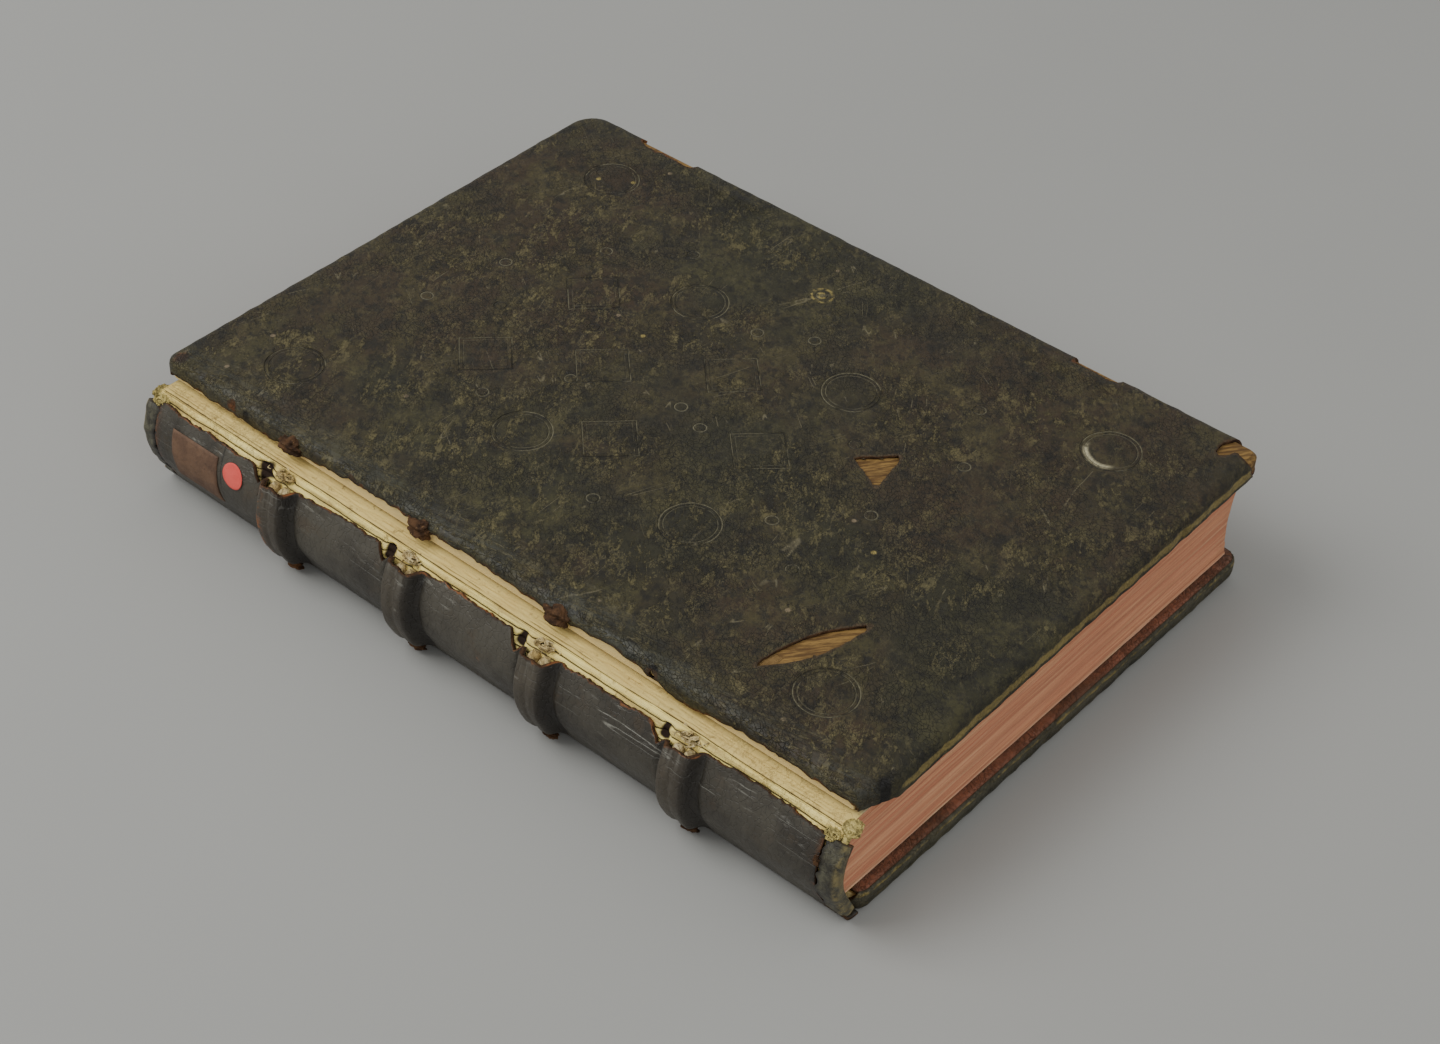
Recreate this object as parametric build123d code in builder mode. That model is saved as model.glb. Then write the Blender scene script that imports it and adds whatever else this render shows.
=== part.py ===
"""An old folio book bound in dark leather over wooden boards, lying closed on its back cover.

The origin is under the middle of the book, on the surface that it lies on. +X runs from the
spine to the fore edge, +Y from the tail to the head, and +Z from the back cover to the front.
"""

import math
import os

from build123d import *

# Boards and their covering, in millimetres
book_height = 310.0
board_width = 218.0
wood_thickness = 6.7
leather_thickness = 1.2
paste_paper_thickness = 0.3
cover_edge_round = 4.0
board_edge_bevel = 1.7
turn_in_width = 16.0
paste_paper_lap = 3.0
paste_paper_joint_margin = 3.0
back_corner_round = 6.5
head_fore_corner_round = 12.0
tail_fore_corner_round = 5.0
head_spine_corner_round = 5.5
tail_spine_cut_width = 15.0
tail_spine_cut_height = 6.0

# Paper block
text_thickness = 31.0
text_wedge_angle = 1.6
square = 4.5
spine_overhang = 5.0
spine_bulge = 6.0
fore_edge_hollow = 4.0
gathering_count = 13
fold_depth = 0.7

# Sewing supports, in pairs of cords
support_count = 4
first_support_share = 0.2
support_pitch_share = 0.192
cord_diameter = 4.5
cord_gap = 0.1
cord_sides = 6
cord_top_angle = 150.0
cord_foot_angle = 206.0

# Spine covering
spine_leather_thickness = 1.5
fit_gap = 0.1
spine_foot_angle = 208.0
spine_foot_length = 11.0
band_base_extra = 3.0
band_top_less = 1.0
band_foot_bevel = 1.5
band_crown_round = 1.9
cap_height = 7.5
cap_depth = 6.2
cap_end_margin = 0.7
cap_bevel = 1.2
tail_cap_top_angle = 147.0
head_cap_top_angle = 150.0
cap_tear_width = 0.8

# Upper joint, where the leather has torn along the book
tear_height = 38.8
tear_wander = 1.1
tear_step = 13.0
tear_notch_depth = 4.5
tear_notch_width = 8.0
tear_notch_from_support = 10.0
front_tear_depth = 4.6
front_tear_wander = 0.7

# Endbands
endband_diameter = 2.3
endband_top_angle = 150.0
endband_foot_angle = 208.0

# Label and sticker on the head panel
label_width = 23.0
label_gap_share = 0.434
label_top_angle = 159.0
label_foot_angle = 207.0
label_thickness = 0.4
sticker_diameter = 9.5
sticker_gap_share = 0.149
sticker_below_tear = 8.0
sticker_thickness = 0.2

# Laced-in ends of the supports and their pegs
slip_length = 26.0
slip_width = 9.0
slip_thickness = 3.2
slip_end_diameter = 7.6
peg_side = 3.2
lacing_clearance = 0.1
stub_count = 3
stub_length = 10.0

# Places where the front leather is lost, measured on the cover from its spine and tail edges
leather_tear_points = ((119.5, 100.5), (131.5, 88.5), (112.0, 85.0))
slit_start = (21.0, 61.5)
slit_end = (60.0, 45.5)
slit_belly = 4.2
clasp_loss_from_tail = 251.0
clasp_loss_length = 30.0
clasp_loss_depth = 7.0
clasp_chip_from_tail = 56.0
clasp_chip_length = 22.0
clasp_chip_depth = 5.5
corner_loss_length = 13.0
corner_loss_width = 5.0

# Room between the bodies that turn
cover_gap = 0.3
hinge_inset = 1.5
stub_clearance = 0.15

# Worked out from the sizes above
half_height = book_height / 2
cover_thickness = paste_paper_thickness + wood_thickness + 2 * leather_thickness
wood_inner = paste_paper_thickness + leather_thickness
wood_outer = wood_inner + wood_thickness
slip_inner = wood_outer - slip_thickness
text_low = cover_thickness + cover_gap
text_high = text_low + text_thickness
text_half_height = half_height - square
spine_radius = (text_thickness**2 / 4 + spine_bulge**2) / (2 * spine_bulge)
spine_half_angle = math.degrees(math.asin(text_thickness / 2 / spine_radius))
leather_radius = spine_radius + fit_gap
panel_radius = leather_radius + spine_leather_thickness
cord_circle_radius = leather_radius + cord_diameter / 2
band_radius = leather_radius + cord_diameter + fit_gap + spine_leather_thickness
cord_pair_width = 2 * cord_diameter + cord_gap
joint_x = (band_radius - spine_radius + spine_bulge + spine_overhang - board_width) / 2
shoulder_x = joint_x - spine_overhang
spine_centre_x = shoulder_x - spine_bulge + spine_radius
spine_centre_z = (text_low + text_high) / 2
wedge = math.radians(text_wedge_angle)
front_inner = text_high + spine_overhang * math.tan(wedge) + cover_gap / math.cos(wedge)
support_places = [
    book_height * (first_support_share + support_pitch_share * i) - half_height
    for i in range(support_count)
]

# Local +X of a cover's plane runs to the fore edge and local +Z out of the book
front_plane = Plane(
    origin=(joint_x, 0, front_inner),
    x_dir=(math.cos(wedge), 0, math.sin(wedge)),
    z_dir=(-math.sin(wedge), 0, math.cos(wedge)),
)
back_plane = Plane(origin=(joint_x, 0, cover_thickness), x_dir=(1, 0, 0), z_dir=(0, 0, -1))
spine_axis = Axis((spine_centre_x, 0, spine_centre_z), (0, -1, 0))


def spine_point(angle, radius):
    """A point of the rounded spine's section, by its angle from +X and its radius."""
    turn = math.radians(angle)
    return (
        spine_centre_x + radius * math.cos(turn),
        spine_centre_z + radius * math.sin(turn),
    )


def spine_plane(angle):
    """The plane through the axis of the rounded spine: local X is +Y, local Y is the radius."""
    turn = math.radians(angle)
    return Plane(
        origin=(spine_centre_x, 0, spine_centre_z),
        x_dir=(0, 1, 0),
        z_dir=(math.sin(turn), 0, -math.cos(turn)),
    )


def ragged(place, depth):
    """How far a torn edge wanders at a place along the book: three slow waves, added."""
    slow = math.sin(place / 23.0 + 0.6)
    middle = math.sin(place / 9.1 + 2.0)
    quick = math.sin(place / 4.3)
    return depth * (0.5 * slow + 0.3 * middle + 0.2 * quick)


def along_book():
    """Places along a torn edge, from past the tail to past the head."""
    steps = math.ceil(book_height / tear_step) + 1
    return [-half_height - tear_step / 2 + tear_step * i for i in range(steps + 1)]


def front_outline():
    """Plan of the front cover: rounded at the head, near sharp at one corner, cut at another."""
    with BuildLine() as line:
        Polyline(
            (tail_spine_cut_width, -half_height),
            (board_width, -half_height),
            (board_width, half_height),
            (0, half_height),
            (0, -half_height + tail_spine_cut_height),
            close=True,
        )
    with BuildSketch() as plan:
        make_face(line.line)
        fillet(plan.vertices().sort_by_distance((board_width, -half_height))[0], tail_fore_corner_round)
        fillet(plan.vertices().sort_by_distance((board_width, half_height))[0], head_fore_corner_round)
        fillet(plan.vertices().sort_by_distance((0, half_height))[0], head_spine_corner_round)
    return plan.sketch


def back_outline():
    """Plan of the back cover, rounded alike at its four corners."""
    with BuildSketch() as plan:
        with Locations((board_width / 2, 0)):
            RectangleRounded(board_width, book_height, back_corner_round)
    return plan.sketch


def slab(plane, outline, inset, low, high):
    """The plan of a cover, drawn in by inset, between two heights above the cover's inner face."""
    with BuildPart() as body:
        with BuildSketch(plane.offset(low)):
            add(outline)
            if inset > 0:
                offset(amount=-inset, mode=Mode.REPLACE)
        extrude(amount=high - low)
    return body.part


def covered_slab(plane, outline):
    """The whole of a covered board, with the soft rim that the leather gives it."""
    with BuildPart() as body:
        add(slab(plane, outline, 0, paste_paper_thickness, cover_thickness))
        rim = body.faces().sort_by(Axis(plane.origin, plane.z_dir))[-1].edges()
        fillet(rim, cover_edge_round)
    return body.part


def bare_slab(plane, outline):
    """A board as it was planed, with a bevel round its outer face."""
    with BuildPart() as body:
        add(slab(plane, outline, leather_thickness, wood_inner, wood_outer))
        rim = body.faces().sort_by(Axis(plane.origin, plane.z_dir))[-1].edges()
        chamfer(rim, board_edge_bevel)
    return body.part


def lacing(plane, clearance):
    """Room for the laced ends of the supports: a channel from the spine edge and a hole."""
    channel_length = slip_length + slip_width / 2 + clearance
    with BuildPart() as ends:
        with BuildSketch(plane.offset(slip_inner - clearance)):
            for place in support_places:
                with Locations((channel_length / 2, place)):
                    Rectangle(channel_length, slip_width + 2 * clearance)
        extrude(amount=slip_thickness + 2 * clearance)
        with BuildSketch(plane.offset(wood_inner)):
            for place in support_places:
                with Locations((slip_length, place)):
                    RegularPolygon(slip_end_diameter / 2 + clearance, cord_sides)
        extrude(amount=slip_inner - wood_inner)
    return ends.part


def pegs(plane, clearance):
    """The pegs that wedge the laced ends in their holes, or the holes for them."""
    with BuildPart() as group:
        with BuildSketch(plane.offset(wood_inner)):
            for place in support_places:
                with Locations((slip_length, place)):
                    Rectangle(peg_side + 2 * clearance, peg_side + 2 * clearance)
        extrude(amount=wood_outer - wood_inner - leather_thickness / 2)
    return group.part


def wooden_board(plane, outline):
    """A board of one plank with channels and holes for the laced ends."""
    channels = lacing(plane, lacing_clearance)
    with BuildPart() as board:
        add(bare_slab(plane, outline))
        add(channels, mode=Mode.SUBTRACT)
    return board.part


def laced_ends(plane, outline):
    """The flattened ends of the double cords, trimmed to the board's outer face and edge."""
    with BuildPart() as ends:
        add(lacing(plane, 0))
        add(bare_slab(plane, outline), mode=Mode.INTERSECT)
        add(pegs(plane, lacing_clearance), mode=Mode.SUBTRACT)
    return ends.part


def turned_window(plane, low, high, lap):
    """The space inside the turned-in leather, which is open to the spine edge."""
    far_x = board_width - turn_in_width + lap
    near_x = paste_paper_joint_margin
    with BuildPart() as space:
        with BuildSketch(plane.offset(low)):
            with Locations(((near_x + far_x) / 2, 0)):
                Rectangle(far_x - near_x, book_height - 2 * turn_in_width + 2 * lap)
        extrude(amount=high - low)
    return space.part


def covering(plane, outline):
    """The leather over a board, turned in at the head, tail and fore edge."""
    with BuildPart() as leather:
        add(covered_slab(plane, outline))
        add(bare_slab(plane, outline), mode=Mode.SUBTRACT)
        window_width = board_width - turn_in_width
        with BuildSketch(plane.offset(paste_paper_thickness)):
            with Locations((window_width / 2, 0)):
                Rectangle(window_width, book_height - 2 * turn_in_width)
        extrude(amount=leather_thickness, mode=Mode.SUBTRACT)
    return leather.part


def paste_paper(plane):
    """The paper pasted inside a cover: it lies on the wood and laps over the turned-in leather."""
    with BuildPart() as paper:
        add(turned_window(plane, 0, paste_paper_thickness, paste_paper_lap))
        add(turned_window(plane, 0, wood_inner, -fit_gap))
        hollow_lap = -fit_gap - paste_paper_thickness
        hollow_high = wood_inner - paste_paper_thickness
        add(turned_window(plane, 0, hollow_high, hollow_lap), mode=Mode.SUBTRACT)
    return paper.part


def turned_down(profile, top_angle, foot_angle, foot_length=0.0):
    """A strip of the spine: its section turned down the rounded back, then run on straight."""
    with BuildPart() as strip:
        with BuildSketch(spine_plane(top_angle)):
            add(profile)
        revolve(axis=spine_axis, revolution_arc=foot_angle - top_angle)
        if foot_length > 0:
            with BuildSketch(spine_plane(foot_angle)):
                add(profile)
            extrude(amount=-foot_length)
    return strip.part


def box_profile(low_y, high_y, low_radius, high_radius):
    """A rectangle between two places along the book and two radii of the spine."""
    with BuildSketch() as profile:
        with Locations(((low_y + high_y) / 2, (low_radius + high_radius) / 2)):
            Rectangle(high_y - low_y, high_radius - low_radius)
    return profile.sketch


os.makedirs("parts", exist_ok=True)


def write(part, name):
    """Label one finished piece and write it under the same name."""
    part.label = name
    export_step(part, f"parts/{name}.step")


# Back cover
write(wooden_board(back_plane, back_outline()), "back_board")
write(laced_ends(back_plane, back_outline()), "back_slips")
write(pegs(back_plane, 0), "back_pegs")
write(paste_paper(back_plane), "back_pastedown")
with BuildPart() as back_leather:
    add(covering(back_plane, back_outline()))
    with BuildSketch(back_plane.offset(paste_paper_thickness)):
        Rectangle(2 * leather_thickness, book_height)
    extrude(amount=front_tear_depth - paste_paper_thickness, mode=Mode.SUBTRACT)
write(back_leather.part, "back_leather")

# Front cover
write(wooden_board(front_plane, front_outline()), "front_board")
write(laced_ends(front_plane, front_outline()), "front_slips")
write(pegs(front_plane, 0), "front_pegs")
write(paste_paper(front_plane), "front_pastedown")

# A torn three-cornered hole and a long slit, bowed on both sides, lay the wood bare
with BuildSketch(front_plane.offset(wood_outer)) as holes:
    with BuildLine() as triangle:
        Polyline([(x, y - half_height) for x, y in leather_tear_points], close=True)
    make_face()
    slit_length = math.dist(slit_start, slit_end)
    slit_turn = math.degrees(
        math.atan2(slit_end[1] - slit_start[1], slit_end[0] - slit_start[0])
    )
    slit_middle_x = (slit_start[0] + slit_end[0]) / 2
    slit_middle_y = (slit_start[1] + slit_end[1]) / 2 - half_height
    with BuildLine() as slit:
        ends = [
            (
                slit_middle_x + side * slit_length / 2 * math.cos(math.radians(slit_turn)),
                slit_middle_y + side * slit_length / 2 * math.sin(math.radians(slit_turn)),
            )
            for side in (-1, 1)
        ]
        bows = [
            (
                slit_middle_x - side * slit_belly * math.sin(math.radians(slit_turn)),
                slit_middle_y + side * slit_belly * math.cos(math.radians(slit_turn)),
            )
            for side in (-1, 1)
        ]
        ThreePointArc(ends[0], bows[0], ends[1])
        ThreePointArc(ends[1], bows[1], ends[0])
    make_face()


def edge_loss(from_tail, length, depth):
    """Where leather is gone at the fore edge: a patch with slanted ends, and the edge below it."""
    low = from_tail - half_height
    high = low + length
    with BuildPart() as loss:
        with BuildSketch(front_plane.offset(wood_outer)):
            with BuildLine():
                Polyline(
                    (board_width, low),
                    (board_width - depth, low + depth),
                    (board_width - depth, high - depth / 2),
                    (board_width, high),
                    close=True,
                )
            make_face()
        extrude(amount=leather_thickness)
        with BuildSketch(front_plane.offset(cover_thickness / 2)):
            with Locations((board_width - leather_thickness / 2, (low + high) / 2)):
                Rectangle(leather_thickness, length)
        extrude(amount=cover_thickness / 2)
    return loss.part


def torn_below(low, wander):
    """What lies under the torn spine edge of the front leather."""
    across = Plane(origin=front_plane.origin, x_dir=(0, 1, 0), z_dir=front_plane.x_dir)
    ragged_line = [(y, low + ragged(y, wander)) for y in along_book()]
    with BuildPart() as space:
        with BuildSketch(across):
            with BuildLine():
                Polyline((ragged_line[-1][0], 0), (ragged_line[0][0], 0), *ragged_line, close=True)
            make_face()
        extrude(amount=2 * leather_thickness)
    return space.part


with BuildPart() as front_leather:
    add(covering(front_plane, front_outline()))
    add(torn_below(front_tear_depth, front_tear_wander), mode=Mode.SUBTRACT)
    add(edge_loss(clasp_loss_from_tail, clasp_loss_length, clasp_loss_depth), mode=Mode.SUBTRACT)
    add(edge_loss(clasp_chip_from_tail, clasp_chip_length, clasp_chip_depth), mode=Mode.SUBTRACT)
    with BuildSketch(front_plane.offset(wood_outer)):
        with BuildLine():
            Polyline(
                (board_width, -half_height),
                (board_width, -half_height + corner_loss_length / 2),
                (board_width - corner_loss_length, -half_height + corner_loss_length),
                (board_width - corner_loss_length, -half_height + corner_loss_width / 2),
                (board_width - corner_loss_width, -half_height),
                close=True,
            )
        make_face()
    extrude(amount=leather_thickness, mode=Mode.SUBTRACT)
    extrude(holes.sketch, amount=leather_thickness, mode=Mode.SUBTRACT)
write(front_leather.part, "front_leather")

# Stubs of the torn bands, stuck to the front board's edge within the sweep of its hinge
with BuildPart() as band_leather_stubs:
    for place in support_places[-stub_count:]:
        side_on = Plane(
            origin=front_plane.from_local_coords((0, place, 0)),
            x_dir=front_plane.x_dir,
            z_dir=(0, -1, 0),
        )
        with BuildSketch(side_on):
            with Locations((hinge_inset, cover_thickness / 2)):
                Circle(cover_thickness / 2 - stub_clearance)
            with Locations((leather_thickness - cover_thickness / 2, cover_thickness / 2)):
                Rectangle(cover_thickness, cover_thickness, mode=Mode.INTERSECT)
        extrude(amount=stub_length / 2, both=True)
    add(front_leather.part, mode=Mode.SUBTRACT)
write(band_leather_stubs.part, "band_leather_stubs")

# The paper block, with a rounded fold for each gathering on its back and a hollow fore edge
fore_x = joint_x + board_width - square
fore_high = text_high + (fore_x - shoulder_x) * math.tan(wedge)
with BuildPart() as text_block:
    with BuildSketch(Plane.XZ):
        with BuildLine():
            fold_angle = 2 * spine_half_angle / gathering_count
            low_angle = 180 + spine_half_angle
            for i in range(gathering_count):
                angles = [low_angle - fold_angle * (i + step) for step in (0, 0.5, 1)]
                radii = [spine_radius - fold_depth, spine_radius, spine_radius - fold_depth]
                if i == 0:
                    radii[0] = spine_radius
                if i == gathering_count - 1:
                    radii[2] = spine_radius
                ThreePointArc(*[spine_point(a, r) for a, r in zip(angles, radii)])
            Line((shoulder_x, text_high), (fore_x, fore_high))
            hollow_middle = (fore_x - fore_edge_hollow, (text_low + fore_high) / 2)
            ThreePointArc((fore_x, fore_high), hollow_middle, (fore_x, text_low))
            Line((fore_x, text_low), (shoulder_x, text_low))
        make_face()
    extrude(amount=text_half_height, both=True)
write(text_block.part, "text_block")

# Double cords over the folds, cut off where the upper joint is torn
with BuildSketch() as cord_pairs:
    for place in support_places:
        for side in (-1, 1):
            with Locations((place + side * (cord_diameter + cord_gap) / 2, cord_circle_radius)):
                RegularPolygon(cord_diameter / 2, cord_sides)
write(turned_down(cord_pairs.sketch, cord_top_angle, cord_foot_angle), "sewing_cords")

# Spine leather, drawn over the bands and torn off along the upper joint
leather_end = half_height - cap_height - cap_tear_width
band_base = cord_pair_width / 2 + band_base_extra
band_top = cord_pair_width / 2 - band_top_less
with BuildSketch() as spine_section:
    add(box_profile(-leather_end, leather_end, leather_radius, panel_radius))
    for place in support_places:
        with BuildLine():
            Polyline(
                (place - band_base, leather_radius),
                (place - band_base, panel_radius),
                (place - band_top, band_radius),
                (place + band_top, band_radius),
                (place + band_base, panel_radius),
                (place + band_base, leather_radius),
                close=True,
            )
        make_face()
    feet = [
        v for v in spine_section.vertices()
        if abs(v.Y - panel_radius) < fit_gap and abs(v.X) < leather_end - fit_gap
    ]
    chamfer(feet, band_foot_bevel)
    crowns = [v for v in spine_section.vertices() if abs(v.Y - band_radius) < fit_gap]
    fillet(crowns, band_crown_round)
    for place in support_places:
        room = cord_pair_width / 2 + fit_gap
        high = leather_radius + cord_diameter + fit_gap
        add(
            box_profile(place - room, place + room, leather_radius - fit_gap, high),
            mode=Mode.SUBTRACT,
        )


def torn_height(place):
    """Height of the torn upper edge, which dips into a notch beside each band."""
    height = tear_height + ragged(place, tear_wander)
    for support in support_places:
        from_notch = abs(place - support - tear_notch_from_support)
        height -= tear_notch_depth * max(0.0, 1 - 2 * from_notch / tear_notch_width)
    return height


spine_leather_top = 180 - spine_half_angle
with BuildPart() as spine_leather:
    add(turned_down(spine_section.sketch, spine_leather_top, spine_foot_angle, spine_foot_length))
    notches = [
        support + tear_notch_from_support + side * tear_notch_width / 2
        for support in support_places
        for side in (-1, 0, 1)
    ]
    torn_line = [(y, torn_height(y)) for y in sorted(along_book() + notches)]
    above = text_high + cover_thickness
    with BuildSketch(Plane.YZ.offset(joint_x)):
        with BuildLine():
            Polyline((torn_line[-1][0], above), (torn_line[0][0], above), *torn_line, close=True)
        make_face()
    extrude(amount=-2 * band_radius, mode=Mode.SUBTRACT)
write(spine_leather.part, "spine_leather")


def end_cap(end, top_angle):
    """Leather over one end of the spine: a strip of the back, turned in over the endband."""
    outer_y = end * (half_height - cap_end_margin)
    inner_y = end * (half_height - cap_height)
    pocket_y = outer_y - end * leather_thickness
    with BuildSketch() as hood:
        add(box_profile(*sorted((inner_y, outer_y)), panel_radius - cap_depth, panel_radius))
        corner = hood.vertices().sort_by_distance((outer_y, panel_radius))[0]
        chamfer(corner, cap_bevel)
        pocket = sorted((inner_y, pocket_y))
        add(
            box_profile(*pocket, panel_radius - cap_depth, leather_radius),
            mode=Mode.SUBTRACT,
        )
    with BuildPart() as cap:
        add(turned_down(hood.sketch, top_angle, spine_foot_angle))
        with BuildSketch(spine_plane(spine_foot_angle)):
            add(box_profile(*sorted((inner_y, outer_y)), leather_radius, panel_radius))
        extrude(amount=-spine_foot_length)
    return cap.part


write(end_cap(1, head_cap_top_angle), "head_cap")
write(end_cap(-1, tail_cap_top_angle), "tail_cap")

# Endbands, which lie on the ends of the paper block inside the caps
for end, name in ((1, "head_endband"), (-1, "tail_endband")):
    with BuildSketch() as endband:
        endband_y = end * (text_half_height + endband_diameter / 2 + fit_gap)
        with Locations((endband_y, spine_radius - endband_diameter / 2)):
            RegularPolygon(endband_diameter / 2, cord_sides)
    write(turned_down(endband.sketch, endband_top_angle, endband_foot_angle), name)

# Paper label and round sticker on the panel at the head
panel_high = half_height - cap_height
panel_low = support_places[-1] + band_base
panel_room = panel_high - panel_low - label_width - sticker_diameter
label_high = panel_high - label_gap_share * panel_room
label_section = box_profile(
    label_high - label_width,
    label_high,
    panel_radius + fit_gap,
    panel_radius + fit_gap + label_thickness,
)
write(turned_down(label_section, label_top_angle, label_foot_angle), "title_label")

sticker_y = label_high - label_width - sticker_gap_share * panel_room - sticker_diameter / 2
sticker_height = tear_height - sticker_below_tear
sticker_angle = 180 - math.degrees(math.asin((sticker_height - spine_centre_z) / panel_radius))
sticker_spread = math.degrees(sticker_diameter / panel_radius)
sticker_section = box_profile(
    sticker_y - sticker_diameter,
    sticker_y + sticker_diameter,
    panel_radius + fit_gap,
    panel_radius + fit_gap + sticker_thickness,
)
sticker_turn = math.radians(sticker_angle)
sticker_plane = Plane(
    origin=(spine_centre_x, sticker_y, spine_centre_z),
    x_dir=(0, 1, 0),
    z_dir=(math.cos(sticker_turn), 0, math.sin(sticker_turn)),
)
with BuildPart() as round_sticker:
    add(
        turned_down(
            sticker_section, sticker_angle - sticker_spread, sticker_angle + sticker_spread
        )
    )
    with BuildSketch(sticker_plane):
        Circle(sticker_diameter / 2)
    extrude(amount=2 * panel_radius, mode=Mode.INTERSECT)
write(round_sticker.part, "round_sticker")
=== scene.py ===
"""Looks of an old folio book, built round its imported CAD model.

Sizes here are in millimetres and become metres when a mesh is made. A place on a cover is
(u, v, w): u from the spine edge to the fore edge, v from the tail to the head, w above the cover's
inner face.
"""

import logging
import math
from dataclasses import dataclass, field
from enum import Enum

import bpy
import numpy as np
from mathutils import Matrix


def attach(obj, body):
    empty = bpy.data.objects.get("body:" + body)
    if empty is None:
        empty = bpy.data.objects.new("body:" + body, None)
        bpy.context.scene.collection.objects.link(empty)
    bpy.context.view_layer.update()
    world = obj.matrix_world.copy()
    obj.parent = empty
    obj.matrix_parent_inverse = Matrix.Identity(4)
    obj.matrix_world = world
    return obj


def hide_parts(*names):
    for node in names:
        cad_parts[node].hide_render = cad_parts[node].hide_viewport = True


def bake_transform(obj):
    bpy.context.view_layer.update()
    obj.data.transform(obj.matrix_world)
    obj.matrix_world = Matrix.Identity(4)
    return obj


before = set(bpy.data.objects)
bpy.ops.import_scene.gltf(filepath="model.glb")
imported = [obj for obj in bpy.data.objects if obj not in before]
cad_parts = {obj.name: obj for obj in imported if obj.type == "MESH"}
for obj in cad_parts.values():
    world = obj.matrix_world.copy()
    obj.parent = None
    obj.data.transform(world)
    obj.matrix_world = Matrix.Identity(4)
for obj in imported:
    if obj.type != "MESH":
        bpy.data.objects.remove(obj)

Array = np.ndarray
Socket = bpy.types.NodeSocket
Colour = tuple[float, float, float, float]

MM = 0.001
FULL_TURN = 2 * math.pi
log = logging.getLogger("book")


class Body(Enum):
    """The bodies of the CAD model."""

    BACK_COVER = "back_cover"
    BOOK_BLOCK = "book_block"
    FRONT_COVER = "front_cover"


# Sizes of the CAD model that the surfaces follow
BOOK_HEIGHT = 310.0
BOARD_WIDTH = 218.0
COVER_THICKNESS = 9.4
PASTE_PAPER = 0.3
LEATHER = 1.2
JOINT_X = -100.392
WEDGE = math.radians(1.6)
TEXT_LOW = 9.7
TEXT_HIGH = 40.7
TEXT_HALF = 150.5
SHOULDER_X = JOINT_X - 5.0
SPINE_RADIUS = 23.0208
SPINE_X = SHOULDER_X - 6.0 + SPINE_RADIUS
SPINE_Z = 25.2
SPINE_HALF_ANGLE = 42.32
PANEL_RADIUS = SPINE_RADIUS + 1.6
BAND_RISE = 4.6
FRONT_INNER = TEXT_HIGH + 5.0 * math.tan(WEDGE) + 0.3 / math.cos(WEDGE)
SUPPORTS = np.array([-93.0, -33.48, 26.04, 85.56])
FOOT_ANGLE = 208.0
FOOT_LENGTH = 11.0
TEAR_HEIGHT = 38.8
SPINE_WAY = 45.0  # rough length of the spine leather, from its foot to its torn edge
TINY = 1e-6  # a length that counts as none
FAR = 99.0  # a length past every place that matters
LEAN = (0.31, 0.17, 0.93)  # a direction that no thread follows


def paint(red: float, green: float, blue: float) -> Colour:
    """The colour with these screen values from 0 to 255, in the linear form that shaders take.

    Args:
        red: Screen value of red.
        green: Screen value of green.
        blue: Screen value of blue.

    Returns:
        Linear red, green and blue, and full alpha.
    """
    share = np.array((red, green, blue)) / 255
    linear = np.where(share <= 0.04045, share / 12.92, ((share + 0.055) / 1.055) ** 2.4)
    return (*(float(c) for c in linear), 1.0)


def smooth(value: Array, low: float, high: float) -> Array:
    """A soft step: 0 below low, 1 above high, and three t squared less two t cubed between.

    Args:
        value: What is stepped.
        low: Where the step starts.
        high: Where it ends, which may be below low for a falling step.

    Returns:
        The step at each value.
    """
    share = np.clip((value - low) / (high - low), 0, 1)
    return share * share * (3 - 2 * share)


class Ripple:
    """A smooth random field: waves with seeded directions, lengths and phases, added."""

    def __init__(self, seed: int, length: float, waves: int = 14) -> None:
        """Draws the waves.

        Args:
            seed: Seed of the draw.
            length: Usual wavelength, in millimetres.
            waves: Number of waves.
        """
        draw = np.random.default_rng(seed)
        turn = draw.uniform(0, FULL_TURN, waves)
        pace = FULL_TURN / (length * draw.uniform(0.6, 1.7, waves))
        self.across = pace * np.cos(turn)
        self.along = pace * np.sin(turn)
        self.start = draw.uniform(0, FULL_TURN, waves)

    def __call__(self, first: Array, second: Array | float = 0.0) -> Array:
        """The field at places (first, second), mostly between -1 and 1."""
        first, second = np.broadcast_arrays(first, second)
        phase = first[..., None] * self.across + second[..., None] * self.along + self.start
        return np.sin(phase).sum(-1) / (1.1 * math.sqrt(len(self.start)))


def ragged(place: Array, depth: float) -> Array:
    """How far a torn edge wanders along the book: three waves, added, as on the CAD model."""
    waves = 0.5 * np.sin(place / 23 + 0.6) + 0.3 * np.sin(place / 9.1 + 2)
    return depth * (waves + 0.2 * np.sin(place / 4.3))


def grid_faces(rows: int, columns: int, round_columns: bool = False) -> Array:
    """Four-cornered faces of a grid of points that is stored row by row.

    Args:
        rows: Number of rows of points.
        columns: Number of points in a row.
        round_columns: Whether the last column joins the first.

    Returns:
        Faces as an array of four point numbers each.
    """
    last = columns if round_columns else columns - 1
    row, column = np.meshgrid(np.arange(rows - 1), np.arange(last), indexing="ij")
    below, beside = row + 1, (column + 1) % columns
    corners = (
        row * columns + column,
        row * columns + beside,
        below * columns + beside,
        below * columns + column,
    )
    return np.stack(corners, -1).reshape(-1, 4)


def capped_faces(rows: int, columns: int, flipped: bool) -> list[Array]:
    """Faces of a closed section carried along a path: the wall, and one face over each end.

    Args:
        rows: Number of sections.
        columns: Points of a section.
        flipped: Whether the faces turn the other way.

    Returns:
        The wall's faces, and the two ends.
    """
    wall = grid_faces(rows, columns, round_columns=True)
    ends = np.stack((np.arange(columns), rows * columns - 1 - np.arange(columns)))
    return [wall[:, ::-1], ends] if flipped else [wall, ends[:, ::-1]]


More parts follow.
